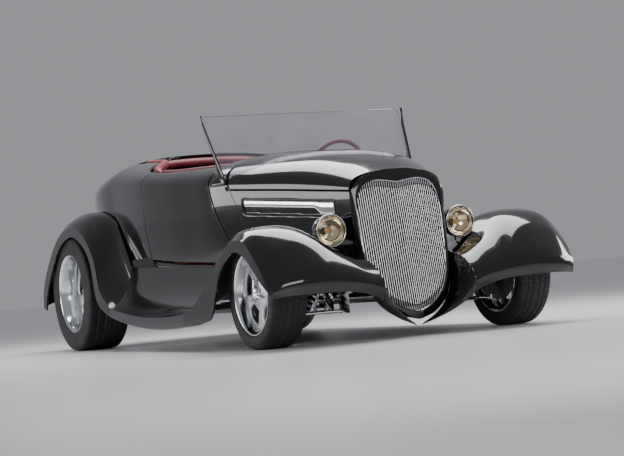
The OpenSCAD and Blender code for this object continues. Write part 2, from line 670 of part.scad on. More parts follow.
lamp_x = front_x + 112;
module at_lamp() both_sides() translate([lamp_x, -lamp_y, lamp_z]) rotate([0, 90, 0]) children();
lamp_row = 14;
lamp_foot_row = side_rows[lamp_row];
function surface_z(row, y) = lookup(y, [for (q = row) [-q[1], q[2]]]);
module headlight_buckets() color("#101012") {
  at_lamp() rotate_extrude() polygon([
    [0, -118], [20, -116], [42, -106], [62, -88], [76, -64], [lamp_r - 4, -36], [lamp_r, -12],
    [lamp_r, 6], [lamp_r - 6, 8], [lamp_r - 8, -4], [0, -4]
  ]);
  both_sides() translate([lamp_foot_row[2][0], -lamp_y, surface_z(lamp_foot_row, lamp_y + 6) + 0.4])
    cylinder(h = 40, r = 5);
}
module headlight_lenses() color("#d8a35a") at_lamp() rotate_extrude()
  polygon([[0, -3.7], [lamp_r - 8.4, -3.7], [lamp_r - 8.4, 3], [56, 10], [28, 14], [0, 15]]);

// Tail lights: round lenses on the tail, square to its surface.
tail_norm = grid_normals(tub_outer);
module at_tail(i, j)
  let (p = tub_outer[i][j], n = tail_norm[i][j])
  translate(p + 0.6 * n) rotate([0, acos(n[2]), atan2(n[1], n[0])]) children();
module taillights() color("#8a1218") for (i = [14, 20]) at_tail(i, 3)
  rotate_extrude() polygon([[0, 0], [27, 0], [27, 12], [20, 19], [0, 23]]);

// Vent trims: a bar in each hood side, full height at the front and stepped behind.
module vent_trims() color("#c8cacc") both_sides()
  shell([for (i = [0 : 8]) [for (j = [0 : 2])
    let (
      x = mix(front_x - 600, front_x + 20, i / 8),
      c = mix(742, 676, i / 8) + 0,
      z = mix(c - (i > 5 ? 33 : 2), c + 33, j / 2)
    )
    [x, -side_y(x, z) - 4.2, z]]], 3.6);

// ---------- cabin ----------

seat_rear = rear_x + 800;
module seat_base() color("#6b1a26") along_y(-540, 540) polygon([
  [seat_rear - 30, rail_top + 12.6], [seat_rear + 470, rail_top + 12.6], [seat_rear + 490, 600],
  [seat_rear + 470, 640], [seat_rear + 430, 655], [seat_rear + 60, 622], [seat_rear - 30, 610]
]);
module seat_back() color("#6b1a26") along_y(-450, 450) polygon([
  [seat_rear - 28, 612], [seat_rear + 55, 623], [seat_rear + 10, 760], [seat_rear - 20, 880],
  [seat_rear - 50, 990], [seat_rear - 80, 1050], [seat_rear - 115, 1066],
  [seat_rear - 150, 1050], [seat_rear - 165, 1000], [seat_rear - 160, 900], [seat_rear - 130, 740]
]);
module steering_column() color("#2a2a2d") {
  rod([dash_x - 5.7, 280, 868], [dash_x - 190, 280, 935], 16);
  rod([dash_x - 185, 280, 933], [dash_x - 214, 280, 943.5], 11);
}
module steering_wheel() color("#6b1a26")
  translate([dash_x - 190, 280, 935]) rotate([0, -70.6, 0]) {
    rotate_extrude() translate([168, 20]) circle(r = 14);
    difference() {
      cylinder(h = 26, r = 34);
      translate([0, 0, -1]) cylinder(h = 29, r = 16.3);
    }
    for (a = [0, 120, 240]) rotate([0, 0, a + 90]) translate([30, -11, 14]) cube([130, 22, 7]);
  }

// ---------- front running gear ----------

hub_bore = 22.05;
spindle_r = 22;
arm_z = 158;
rack_x = front_x - 118;
rack_z = 218;
module front_suspension() color("#b9bcc0") both_sides() {
  // Brackets under and over the rail, wishbones, ball joints and the coil-over.
  for (x = [-90, 90]) {
    translate([front_x + x - 12, -rail_out, arm_z - 14]) cube([24, 45, rail_low - arm_z + 13.7]);
    rod([front_x + x, -rail_out + 10, arm_z], [front_x, -kingpin_y, arm_z], 9);
  }
  translate([front_x, -kingpin_y, arm_z - 11]) cylinder(h = 22, r = 20);
  translate([front_x - 95, -rail_out, rail_top + 0.3]) cube([190, 36, 88]);
  for (x = [-80, 80])
    rod([front_x + x, -rail_out + 10, 402], [front_x, -kingpin_y, 416], 8);
  translate([front_x, -kingpin_y, 406]) cylinder(h = 20, r = 17);
  rod([front_x, -478, arm_z + 6], [front_x, -385, 392], 25);
  rod([front_x, -390, 380], [front_x, -335, 400], 12);
  // Rack housing half, hung from the rail.
  difference() {
    union() {
      translate([rack_x, 0.01, rack_z]) rotate([90, 0, 0]) cylinder(h = 250, r = 22);
      translate([rack_x - 10, -250, rack_z]) cube([20, 40, 20]);
      translate([rack_x - 10, -330, rack_z + 18]) cube([20, 120, rail_low - rack_z - 18.3]);
    }
    translate([rack_x, 1, rack_z]) rotate([90, 0, 0]) cylinder(h = 260, r = 9.05);
  }
}

module tie_rod() color("#c8cacc") {
  translate([rack_x, kingpin_y - 28, rack_z]) rotate([90, 0, 0])
    cylinder(h = 2 * kingpin_y - 56, r = 9);
}

// Front knuckle: upright on the kingpin, steering arm, spindle and fixed brake disc.
module knuckle() {
  translate([front_x - 22, -kingpin_y - 20, arm_z + 11.3])
    cube([44, 42, 406 - 0.3 - arm_z - 11.3]);
  translate([rack_x - 10, -kingpin_y - 14, rack_z - 9]) cube([front_x - rack_x, 36, 18]);
  translate([front_x, -kingpin_y - 19, tyre_f_r]) rotate([90, 0, 0])
    cylinder(h = wheel_f_y + 46 - kingpin_y - 19, r = spindle_r);
  translate([front_x, -kingpin_y - 19, tyre_f_r]) rotate([90, 0, 0]) cylinder(h = 26, r = 42);
  translate([front_x, -kingpin_y - 44, tyre_f_r]) rotate([90, 0, 0]) cylinder(h = 22, r = 145);
}
module knuckle_right() color("#b9bcc0") knuckle();
module knuckle_left() color("#b9bcc0") mirror([0, 1, 0]) knuckle();

// ---------- wheels ----------

// Barrel of a rim: w is the half width of the tyre, r the lip radius.
module barrel(r, w, drop) rotate_extrude() polygon([
  [r, w - 8], [r, w - 16], [r - 13, w - 20], [r - 14, w - 40], [r - drop, w - 62],
  [r - drop, 40 - w], [r - 14, 36 - w], [r - 13, 20 - w], [r, 16 - w], [r, 8 - w],
  [r - 7, 8 - w], [r - 20, 22 - w], [r - drop - 8, 44 - w], [r - drop - 8, w - 66],
  [r - 21, w - 40], [r - 19, w - 24], [r - 8, w - 8]
]);
module tyre(radius, w, r) rotate_extrude() polygon([
  [r + 0.4, w - 12], [r + 0.4, w - 16.4], [r - 12.6, w - 20.4], [r - 13.3, w - 36],
  [r + 8, w - 36], [r + 8, 36 - w], [r - 13.3, 36 - w], [r - 12.6, 20.4 - w],
  [r + 0.4, 16.4 - w], [r + 0.4, 12 - w], [r + 10, 3 - w], [r + 24, -w],
  [radius - 24, -w], [radius - 10, 6 - w], [radius - 2, 16 - w], [radius, 28 - w],
  [radius, w - 28], [radius - 2, w - 16], [radius - 10, w - 6], [radius - 24, w],
  [r + 24, w], [r + 10, w - 3]
]);
// Cast face with five windows, hub and knock-off spinner; face is where it sits from the centre.
module face(r, drop, face_w) {
  difference() {
    rotate_extrude() polygon([
      [r - drop - 4, face_w - 12], [r - drop - 4, face_w + 4], [r - drop - 30, face_w + 10],
      [90, face_w + 4], [58, face_w + 14], [30, face_w + 16], [hub_bore, face_w + 16],
      [hub_bore, face_w - 24], [58, face_w - 24], [70, face_w - 8], [r - drop - 30, face_w - 10]
    ]);
    for (k = [0 : 4]) rotate([0, 0, 72 * k + 36]) translate([0.64 * (r - drop), 0, face_w - 40])
      linear_extrude(80) square([44, 50], center = true);
  }
  translate([0, 0, face_w + 16]) rotate_extrude()
    polygon([[0, 0], [34, 0], [34, 8], [26, 20], [12, 27], [0, 28]]);
  for (k = [0 : 2]) rotate([0, 0, 120 * k + 90]) translate([20, -8, face_w + 18]) cube([52, 16, 8]);
}
module placed(x, y, z) translate([x, -y, z]) rotate([90, 0, 0]) children();

module front_rim() placed(front_x, wheel_f_y, tyre_f_r) {
  barrel(rim_f_r, tyre_f_w / 2, 26);
  face(rim_f_r, 26, 36);
}
module front_tyre() placed(front_x, wheel_f_y, tyre_f_r) tyre(tyre_f_r, tyre_f_w / 2, rim_f_r);
module rear_rim() placed(rear_x, wheel_r_y, tyre_r_r) {
  barrel(rim_r_r, tyre_r_w / 2, 26);
  face(rim_r_r, 26, 10);
}
module rear_tyre() placed(rear_x, wheel_r_y, tyre_r_r) tyre(tyre_r_r, tyre_r_w / 2, rim_r_r);
module front_rim_right() color("#c5c7ca") front_rim();
module front_rim_left() color("#c5c7ca") mirror([0, 1, 0]) front_rim();
module front_tyre_right() color("#1b1b1c") front_tyre();
module front_tyre_left() color("#1b1b1c") mirror([0, 1, 0]) front_tyre();
module rear_rim_right() color("#c5c7ca") rear_rim();
module rear_rim_left() color("#c5c7ca") mirror([0, 1, 0]) rear_rim();
module rear_tyre_right() color("#1b1b1c") rear_tyre();
module rear_tyre_left() color("#1b1b1c") mirror([0, 1, 0]) rear_tyre();

// ---------- rear running gear and exhaust ----------

module rear_axle() color("#8f9296") {
  translate([rear_x, 0, tyre_r_r]) rotate([90, 0, 0])
    translate([0, 0, -470]) cylinder(h = 940, r = 38);
  translate([rear_x, 0, tyre_r_r]) sphere(r = 78);
  both_sides() {
    translate([rear_x, -469, tyre_r_r]) rotate([90, 0, 0]) cylinder(h = 44, r = 48);
    translate([rear_x, -500, tyre_r_r]) rotate([90, 0, 0]) cylinder(h = 22, r = 150);
    translate([rear_x, -469, tyre_r_r]) rotate([90, 0, 0])
      cylinder(h = wheel_r_y + 22 - 469, r = spindle_r);
    rod([rear_x, -359.3, tyre_r_r], [rear_x + 430, -359.3, 285], 14);
    // Coil-over, leaning in to the rear crossmember.
    rod([rear_x - 20, -250, tyre_r_r + 20], [rear_x - 90, -250, deck_z - 100], 24);
  }
}
module exhaust_pipes() color("#c8cacc") both_sides() {
  rod([front_x - 300, -250, 200], [rear_x + 420, -250, 200], 28);
  translate([rear_x - 330, -250, 200]) rotate([0, 90, 0]) difference() {
    cylinder(h = 751, r = 28);
    translate([0, 0, -1]) cylinder(h = 131, r = 24);
  }
  for (x = [front_x - 440, rear_x + 520])
    translate([x, -256, 226]) cube([30, 12, rail_low - 226.3]);
}

frame_rails();
engine_block();
floor_pan();
rockers();
wheelhouses();
firewall();
body_tub();
rear_deck();
cowl();
dashboard();
hood_top();
hood_side_right();
hood_side_left();
vent_trims();
grille_shell();
grille_bars();
front_apron();
front_fender_right();
front_fender_left();
running_board_right();
running_board_left();
rear_fender_right();
rear_fender_left();
rear_pan();
door_right();
door_left();
door_panel_right();
door_panel_left();
trunk_lid();
windshield_glass();
windshield_posts();
headlight_buckets();
headlight_lenses();
taillights();
seat_base();
seat_back();
steering_column();
steering_wheel();
front_suspension();
tie_rod();
knuckle_right();
knuckle_left();
front_rim_right();
front_rim_left();
front_tyre_right();
front_tyre_left();
rear_rim_right();
rear_rim_left();
rear_tyre_right();
rear_tyre_left();
rear_axle();
exhaust_pipes();
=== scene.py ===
"""A fendered street rod roadster in gloss black: the looks of its panels, cabin, wheels and running gear,
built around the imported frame. Shapes are worked out in millimetres and put into the meshes in metres."""

import bpy
import numpy as np
from mathutils import Matrix, Vector


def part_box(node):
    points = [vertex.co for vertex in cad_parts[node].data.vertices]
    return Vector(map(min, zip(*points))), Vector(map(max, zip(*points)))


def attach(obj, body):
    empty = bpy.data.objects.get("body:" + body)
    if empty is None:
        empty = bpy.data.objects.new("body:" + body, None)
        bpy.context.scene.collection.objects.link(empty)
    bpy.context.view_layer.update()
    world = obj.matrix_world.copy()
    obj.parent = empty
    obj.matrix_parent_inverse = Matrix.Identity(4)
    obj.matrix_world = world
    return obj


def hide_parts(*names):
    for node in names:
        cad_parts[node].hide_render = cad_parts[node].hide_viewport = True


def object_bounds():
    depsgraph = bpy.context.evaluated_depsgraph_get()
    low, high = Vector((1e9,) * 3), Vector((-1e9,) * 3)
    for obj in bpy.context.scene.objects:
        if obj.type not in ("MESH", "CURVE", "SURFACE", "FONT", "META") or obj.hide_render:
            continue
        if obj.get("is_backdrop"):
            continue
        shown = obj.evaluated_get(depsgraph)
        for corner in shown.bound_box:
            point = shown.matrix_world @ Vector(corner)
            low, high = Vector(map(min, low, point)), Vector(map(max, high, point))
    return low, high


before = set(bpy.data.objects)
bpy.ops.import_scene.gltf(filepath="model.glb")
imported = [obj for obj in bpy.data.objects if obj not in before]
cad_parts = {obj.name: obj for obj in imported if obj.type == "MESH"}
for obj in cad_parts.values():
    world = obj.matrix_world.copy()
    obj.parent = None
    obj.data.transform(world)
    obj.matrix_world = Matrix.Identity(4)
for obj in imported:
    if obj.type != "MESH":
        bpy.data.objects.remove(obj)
cad_low, cad_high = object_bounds()

# ---------------------------------------------------------------- body tub
# The tub is the fixed steel body behind the doors: two quarters that meet round the tail, with a rolled
# edge along the cockpit. It is pressed sheet, welded and filled to one skin, in gloss black enamel.

MM = 0.001
front_wheel = [np.array(c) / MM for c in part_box("front_tyre_right")]
rear_wheel = [np.array(c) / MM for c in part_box("rear_tyre_right")]
front_x, tyre_f_r = (front_wheel[0] + front_wheel[1])[[0, 2]] / 2
rear_x, tyre_r_r = (rear_wheel[0] + rear_wheel[1])[[0, 2]] / 2
wheel_f_y = -(front_wheel[0] + front_wheel[1])[1] / 2
wheel_r_y = -(rear_wheel[0] + rear_wheel[1])[1] / 2
tail_x = cad_low[0] / MM
mid_x = (front_x + rear_x) / 2
grille_x = front_x + 137
hood_back_x = front_x - 700
door_front_x = front_x - 872
door_rear_x = rear_x + 1102
dome_x = rear_x + 520
dome_l, dome_w, dome_belt, dome_top, dome_fall = dome_x - tail_x, 652, 980, 1165, 90
plan_power, top_power = 2.2, 2.5
lid_angle = 49
tub_low_z = 530
arch_r = tyre_r_r + 68
gap = 6
wall = 45

# X, half width at the belt, belt height, height on the centre line, height of the lower edge.
body_rows = np.array([
    [dome_x, dome_w, dome_belt, dome_top, 530],
    [rear_x + 1022, 676, 941, 1108, 520],
    [mid_x, 664, 908, 1070, 483],
    [mid_x + 300, 640, 883, 1048, 462],
    [front_x - 862, 610, 861, 1036, 443],
    [front_x - 642, 543, 838, 1022, 432],
    [front_x - 322, 424, 806, 986, 422],
    [front_x - 72, 330, 779, 925, 412],
    [grille_x, 262, 758, 852, 402],
])
# X and height of the cockpit's rim.
rim_rows = np.array([
    [dome_x, dome_belt + (dome_top - dome_belt) * np.sin(np.radians(lid_angle)) ** (2 / top_power)],
    [rear_x + 812, 1104],
    [rear_x + 1000, 1050],
    [rear_x + 1292, 1014],
    [mid_x + 200, 1000],
    [door_front_x, 986],
    [hood_back_x, 980],
])


def mix(a, b, t):
    """The point a share t of the way from a to b."""
    return a + (b - a) * t


def at_x(rows, x):
    """Row of a table at x: the Hermite cubic through its rows, each slope taken from the two neighbours."""
    x = np.asarray(x, float)
    last = len(rows) - 1
    i = np.clip(np.searchsorted(rows[:, 0], x, "right") - 1, 0, last - 1)
    before, after = np.maximum(np.arange(last + 1) - 1, 0), np.minimum(np.arange(last + 1) + 1, last)
    slopes = (rows[after] - rows[before]) / (rows[after, :1] - rows[before, :1])
    span = (rows[i + 1, 0] - rows[i, 0])[..., None]
    t = np.clip((x - rows[i, 0])[..., None] / span, 0, 1)
    near = (1 + 2 * t) * (1 - t) ** 2 * rows[i] + t * (1 - t) ** 2 * span * slopes[i]
    return near + t * t * (3 - 2 * t) * rows[i + 1] + t * t * (t - 1) * span * slopes[i + 1]


def belt_z(x):
    """Height of the body's widest line at x."""
    return at_x(body_rows, x)[..., 2]


def rim_z(x):
    """Height of the cockpit's rim at x."""
    return at_x(rim_rows, x)[..., 1]


def side_y(x, z):
    """Half width of the body at or below the belt: it tucks in by 26 mm, as the square of the drop."""
    row = at_x(body_rows, x)
    drop = np.maximum(0, (row[..., 2] - z) / (row[..., 2] - row[..., 4]))
    return row[..., 1] - 26 * drop * drop


def top_point(x, angle):
    """Superellipse section over the belt, from 0 degrees at the right belt over 90 at the centre to 180."""
    row = at_x(body_rows, x)
    c, s = np.cos(np.radians(angle)), np.sin(np.radians(angle))
    y = -np.sign(c) * row[..., 1] * np.abs(c) ** (2 / top_power)
    z = row[..., 2] + (row[..., 3] - row[..., 2]) * np.maximum(s, 0) ** (2 / top_power)
    return np.stack([x + 0 * y, y, z], -1)


def skin(x, z):
    """Point of the body's right side at x and height z: the side below the belt, the section above it."""
    row = at_x(body_rows, x)
    rise = np.clip((z - row[..., 2]) / (row[..., 3] - row[..., 2]), 0, 1) ** (top_power / 2)
    above = top_point(x, np.degrees(np.arcsin(np.minimum(0.99, rise))))
    below = np.stack([x + 0 * z, -side_y(x, z), z + 0 * x], -1)
    return np.where((z > row[..., 2])[..., None], above, below)


def tub_low(x):
    """Lower edge of the tub: level, and arched over the rear wheel."""
    return np.maximum(tub_low_z, tyre_r_r + np.sqrt(np.maximum(0, arch_r**2 - (x - rear_x) ** 2)))


def tail_point(f, v):
    """Closed tail: plan angle f from 0, right, over 90, rearmost, to 180.
    v runs from -1 at the lower edge, over 0 at the belt, to 1 on the centre line."""
    a = np.radians(90 * np.maximum(0, v))
    size = (1 - 0.04 * np.minimum(0, v) ** 2) * np.cos(a) ** (2 / top_power)
    u = size * np.abs(np.sin(np.radians(f))) ** (2 / plan_power)
    w = size * np.abs(np.cos(np.radians(f))) ** (2 / plan_power)
    x = dome_x - dome_l * u
    belt, top = dome_belt - dome_fall * u, dome_top - dome_fall * u
    over = belt + (top - belt) * np.sin(a) ** (2 / top_power)
    z = np.where(v < 0, mix(belt, tub_low(x), -v), over)
    return np.stack([x, np.where(f < 90, -1, 1) * dome_w * w, z], -1)


def front_cut(z):
    """X of the door's front cut, which sweeps forward at the bottom."""
    return door_front_x + 0.0008 * np.maximum(0, 982 - z) ** 2


def rear_cut(z):
    """X of the door's rear cut, slightly bowed."""
    return door_rear_x + 0.0003 * (z - 850) ** 2


def hood_cut(z):
    """X of the cut between cowl and hood, which leans back as it rises."""
    return front_x - 728 - 0.44 * (z - 919)


def lattice(n, m, low=0.0, high=1.0):
    """Two parameters over a grid of n by m points: the first from 0 to 1, the second from low to high."""
    return np.meshgrid(np.linspace(0, 1, n), np.linspace(low, high, m), indexing="ij")


def normals(grid):
    """Unit normals of a grid of points, from the spans between each point's neighbours."""
    rows = np.concatenate([grid[:1], grid, grid[-1:]])
    columns = np.concatenate([grid[:, :1], grid, grid[:, -1:]], 1)
    n = np.cross(rows[2:] - rows[:-2], columns[:, 2:] - columns[:, :-2])
    return n / np.maximum(np.linalg.norm(n, axis=-1, keepdims=True), 1e-9)


def mirrored(grid):
    """The same grid on the car's other side, its rows turned so that normals still point out."""
    return grid[::-1] * [1, -1, 1]


def quads(n, m, around=False, along=False):
    """Faces of a grid of n by m points, closed from last to first row if around, and column if along."""
    i, j = np.meshgrid(np.arange(n - (not around)), np.arange(m - (not along)), indexing="ij")
    i, j = i.ravel(), j.ravel()
    i2, j2 = (i + 1) % n, (j + 1) % m
    return np.stack([i * m + j, i2 * m + j, i2 * m + j2, i * m + j2], 1)


def walled(outer, inner):
    """Closed wall between two grids: outer skin, inner skin turned round, and the four edges."""
    n, m = outer.shape[:2]
    o = np.arange(n * m).reshape(n, m)
    q = o + n * m
    skins = quads(n, m)
    edges = [
        np.stack([o[:-1, 0], q[:-1, 0], q[1:, 0], o[1:, 0]], 1),
        np.stack([o[:-1, -1], o[1:, -1], q[1:, -1], q[:-1, -1]], 1),
        np.stack([o[0, :-1], o[0, 1:], q[0, 1:], q[0, :-1]], 1),
        np.stack([o[-1, 1:], o[-1, :-1], q[-1, :-1], q[-1, 1:]], 1),
    ]
    points = np.concatenate([outer.reshape(-1, 3), inner.reshape(-1, 3)])
    return points, np.concatenate([skins, skins[:, ::-1] + n * m, *edges])


def joined(parts):
    """Several meshes, each its points and faces, as one. Faces may have any number of corners."""
    starts = np.cumsum([0] + [len(p) for p, f in parts[:-1]])
    faces = [[corner + int(s) for corner in face] for (p, f), s in zip(parts, starts)
        for face in np.array(f, object).tolist()]
    return np.concatenate([p for p, f in parts]), faces


def piece(name, shape, material, body, replaces=()):
    """New object from points in millimetres and faces, riding on a body and standing for CAD nodes."""
    points, faces = shape
    mesh = bpy.data.meshes.new(name)
    mesh.from_pydata((points * MM).tolist(), [], [list(map(int, face)) for face in faces])
    mesh.polygons.foreach_set("use_smooth", np.ones(len(faces), bool))
    mesh.materials.append(material)
    obj = bpy.data.objects.new(name, mesh)
    bpy.context.scene.collection.objects.link(obj)
    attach(obj, body)
    if replaces:
        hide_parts(*replaces)
    return obj


def panel(name, grid, inner, material, body, node, radius=2.2, rim=2.2, crease=None):
    """Pressed panel: the wall between two grids, its edges rounded to radius, its last column's edges to rim,
    and one column creased to a 3 mm radius."""
    n, m = grid.shape[:2]
    obj = piece(name, walled(grid, inner), material, body, [node])
    edges = np.empty(2 * len(obj.data.edges), int)
    obj.data.edges.foreach_get("vertices", edges)
    layer, spot = np.divmod(edges.reshape(-1, 2), n * m)
    i, j = np.divmod(spot, m)
    one_layer = layer[:, 0] == layer[:, 1]
    end, side, top = (i == 0) | (i == n - 1), (j == 0) | (j == m - 1), j == m - 1
    border = one_layer & (end | side).all(1) & (end.all(1) | side.all(1))
    corner = ~one_layer & (end & side).all(1)
    widest = max(radius, rim, 3)
    weight = np.where(border | corner, radius / widest, 0)
    weight = np.where(one_layer & top.all(1), rim / widest, weight)
    if crease is not None:
        weight = np.where(one_layer & (layer[:, 0] == 0) & (j == crease).all(1), 3 / widest, weight)
    obj.data.attributes.new("bevel_weight_edge", "FLOAT", "EDGE").data.foreach_set("value", weight)
    rounding = obj.modifiers.new("rounded edges", "BEVEL")
    rounding.limit_method, rounding.width, rounding.segments = "WEIGHT", widest * MM, 3
    rounding.harden_normals = True
    return obj


def nodes_of(name):
    """A new node material: its tree, its principled shader and a Texture Coordinate on Object."""
    material = bpy.data.materials.new(name)
    material.use_nodes = True
    tree = material.node_tree
    return material, tree, tree.nodes["Principled BSDF"], tree.nodes.new("ShaderNodeTexCoord").outputs["Object"]


def noise(tree, where, scale, detail=2.0):
    """Noise value over the object, in cells of 1 / scale metres."""
    cloud = tree.nodes.new("ShaderNodeTexNoise")
    cloud.inputs["Scale"].default_value, cloud.inputs["Detail"].default_value = scale, detail
    tree.links.new(where, cloud.inputs["Vector"])
    return cloud.outputs["Fac"]


def spread(tree, value, low, high, start=0.3, end=0.7):
    """A value from start to end spread over low to high."""
    node = tree.nodes.new("ShaderNodeMapRange")
    for socket, number in zip(("From Min", "From Max", "To Min", "To Max"), (start, end, low, high)):
        node.inputs[socket].default_value = number
    tree.links.new(value, node.inputs["Value"])
    return node.outputs["Result"]


def two_tone(tree, value, dark, light):
    """Colour between two tones by a value from 0 to 1."""
    blend = tree.nodes.new("ShaderNodeMix")
    blend.data_type = "RGBA"
    blend.inputs["A"].default_value, blend.inputs["B"].default_value = (*dark, 1), (*light, 1)
    tree.links.new(value, blend.inputs["Factor"])
    return blend.outputs["Result"]


def bumped(tree, shader, height, depth, strength=1.0):
    """Gives the shader a relief of that depth in metres."""
    bump = tree.nodes.new("ShaderNodeBump")
    bump.inputs["Distance"].default_value, bump.inputs["Strength"].default_value = depth, strength
    tree.links.new(height, bump.inputs["Height"])
    tree.links.new(bump.outputs["Normal"], shader.inputs["Normal"])


def enamel():
    """Gloss black enamel under clear coat: a trace of orange peel, and polish that varies a little."""
    material, tree, shader, where = nodes_of("black_enamel")
    tone = spread(tree, noise(tree, where, 3.0), 0, 1)
    tree.links.new(two_tone(tree, tone, (0.0025, 0.0025, 0.003), (0.005, 0.005, 0.006)),
        shader.inputs["Base Color"])
    tree.links.new(spread(tree, noise(tree, where, 40.0), 0.1, 0.17), shader.inputs["Roughness"])
    shader.inputs["Specular IOR Level"].default_value = 0.2
    shader.inputs["Coat Weight"].default_value = 0.9
    shader.inputs["Coat Roughness"].default_value = 0.015
    bumped(tree, shader, noise(tree, where, 260.0, 1.0), 0.00002)
    return material


black = enamel()
s, v = lattice(14, 30, -1.0, 1.0)
belt_at = at_x(body_rows, mix(rear_cut(800), dome_x, s))[..., 2]
side_z = np.where(v < 0, mix(tub_low_z, belt_at, v + 1),
    mix(belt_at, rim_z(mix(rear_cut(800), dome_x, s)), v))
quarter = skin(mix(rear_cut(side_z) - gap / 2, dome_x, s), side_z)
f, v = lattice(73, 30, -1.0, 1.0)
tail = tail_point(180 * f, np.where(v < 0, v, v * lid_angle / 90))
tub = np.concatenate([quarter[:-1], tail, mirrored(quarter)[1:]])[::-1]
tub_inner = tub - wall * normals(tub)
tub_inner[:, 0, 2] = tub[:, 0, 2]
panel("tub", tub, tub_inner, black, "chassis", "body_tub", rim=14)

# ---------------------------------------------------------------- doors
# Rear-hinged steel doors, smooth outside, with the hinges hidden. Each is one skin over a frame, its edges
# turned in, and its top edge rolled like the rest of the cockpit.

door_skin = 37


def door_grid(n, m, edge, bevel=0):
    """The door on the right side between its cuts.
    Its front edge is set back by bevel, and its rear edge by a quarter of that."""
    along, up = lattice(n, m)
    at = mix(rear_cut(800), front_cut(800), along)
    z = mix(at_x(body_rows, at)[..., 4] + 6, rim_z(at), up)
    x = mix(rear_cut(z) + edge, front_cut(z) - edge - 2.5, along)
    x[0] += bevel / 4
    x[-1] -= bevel
    return skin(x, z)


door = door_grid(60, 44, gap / 2)
bevelled = door_grid(60, 44, gap / 2, 9)
door_inner = bevelled - door_skin * normals(bevelled)
panel("right_door_skin", door, door_inner, black, "door_right", "door_right", rim=12)
panel("left_door_skin", mirrored(door), mirrored(door_inner), black, "door_left",
    "door_left", rim=12)

# ---------------------------------------------------------------- rear deck and trunk lid
# The strip behind the seat is part of the body. The trunk lid behind it is one pressed panel in the same
# black enamel, let in flush with an even gap all round.

hood_t = 16
along, around = lattice(8, 60)
x = mix(dome_x + 8, dome_x - 40, along)
over = top_point(np.maximum(x, dome_x), mix(lid_angle + 0.25, 179.75 - lid_angle, around))
over[..., 0] = x
over[..., 2] -= dome_fall * np.maximum(0, dome_x - x) / dome_l
deck = over[::-1]
panel("deck_strip", deck, deck - (wall - 5) * normals(deck), black, "chassis", "rear_deck",
    radius=1.5, rim=1.5)

along, side = lattice(56, 61, -1.0, 1.0)
edge = tail_point(mix(4.6, 86.5, along), 0 * along + lid_angle / 90 + 0.011)
u = (dome_x - edge[..., 0]) / dome_l
y = -edge[..., 1] * side
reach = (u**plan_power + (np.abs(y) / dome_w) ** plan_power) ** (1 / plan_power)
crown = (1 - reach**top_power) ** (1 / top_power)
lid = np.stack([edge[..., 0], y, dome_belt - dome_fall * u + (dome_top - dome_belt) * crown], -1)[::-1]
panel("trunk_lid_skin", lid, lid - hood_t * normals(lid), black, "trunk", "trunk_lid")

# ---------------------------------------------------------------- cowl and hood top
# The cowl is the fixed collar in front of the doors. The hood top lifts at its front: one long panel from
# belt to belt, tapering to the grille, with a hem all round.

along, spot = lattice(24, 131, -13.0, 13.0)
k = np.abs(spot)
low = k > 7
angle = np.where(low, 0, 90 - 90 * k / 7)
z = np.where(low, mix(861, 443, (k - 7) / 6), top_point(front_x - 800 + 0 * k, angle)[..., 2])
x = mix(front_cut(np.minimum(z, 982)) + gap / 2, hood_cut(z) - gap / 2, along)
sides = np.stack([x, -side_y(x, np.minimum(z, belt_z(x))), z], -1)
cowl = np.where(low[..., None], sides, top_point(x, angle))
cowl[..., 1] = np.where(spot > 0, -cowl[..., 1], cowl[..., 1])
panel("cowl_skin", cowl, cowl - 26 * normals(cowl), black, "chassis", "cowl")

along, around = lattice(70, 90)
angle = mix(0.25, 179.75, around)
rear_edge = hood_cut(top_point(hood_back_x + 0 * angle, angle)[..., 2]) + gap / 2
hood = top_point(mix(rear_edge, grille_x - 5, along), angle)
panel("hood_skin", hood, hood - hood_t * normals(hood), black, "hood", "hood_top")

# ---------------------------------------------------------------- hood sides
# Flat side panels under the hood. Each has a long cooling slot, pressed in with round ends and framed in
# black; a bright bar lies in its upper half and drops to full height behind a swept step at the front.

vent_back, vent_front = front_x - 606, front_x + 26


def vent_middle(x):
    """Height of the slot's middle line, which falls towards the grille."""
    return mix(742, 676, (x - front_x + 600) / 620)


def slot_depth(x, z):
    """1 inside the slot and 0 outside: a rounded box about its middle line, with a 5 mm slope."""
    half_length, half_height = (vent_front - vent_back) / 2, 41
    dx = np.abs(x - (vent_front + vent_back) / 2) - half_length + 14
    dz = np.abs(z - vent_middle(x)) - half_height + 14
    beyond = np.hypot(np.maximum(dx, 0), np.maximum(dz, 0)) + np.minimum(np.maximum(dx, dz), 0) - 14
    return 1 - np.clip(beyond / 5 + 0.5, 0, 1)


n, m = 140, 66
along, up = lattice(n, m)
at = mix(hood_back_x, grille_x, along)
z = mix(455, belt_z(at) - gap - 0.5, up)
x = mix(hood_cut(z) - gap / 2 + 0.7, grille_x - 3, along)
flat_side = np.stack([x, -side_y(x, z), z], -1)
pressed = slot_depth(x, z)
hood_side = flat_side.copy()
lip = 4 * pressed * (1 - pressed) * 2.5
hood_side[..., 1] += 9 * pressed - lip
hood_inner = flat_side - hood_t * normals(flat_side)
for word, turn, grid, inner in (("right", 1, hood_side, hood_inner),
    ("left", -1, mirrored(hood_side), mirrored(hood_inner))):
    panel(word + "_hood_side_skin", grid, inner, black, "chassis", "hood_side_" + word)


def metal(name, tone, rough, grain=900.0, relief=0.00001, coat=0.0):
    """Bare metal: mirror colour, a roughness that varies, and a grain that fine sanding leaves."""
    material, tree, shader, where = nodes_of(name)
    shader.inputs["Metallic"].default_value = 1.0
    shader.inputs["Coat Weight"].default_value = coat
    shade = spread(tree, noise(tree, where, 12.0), 0, 1)
    dark = tuple(c * 0.86 for c in tone)
    tree.links.new(two_tone(tree, shade, dark, tone), shader.inputs["Base Color"])
    tree.links.new(spread(tree, noise(tree, where, 60.0), rough * 0.75, rough * 1.4),
        shader.inputs["Roughness"])
    bumped(tree, shader, noise(tree, where, grain, 1.0), relief)
    return material


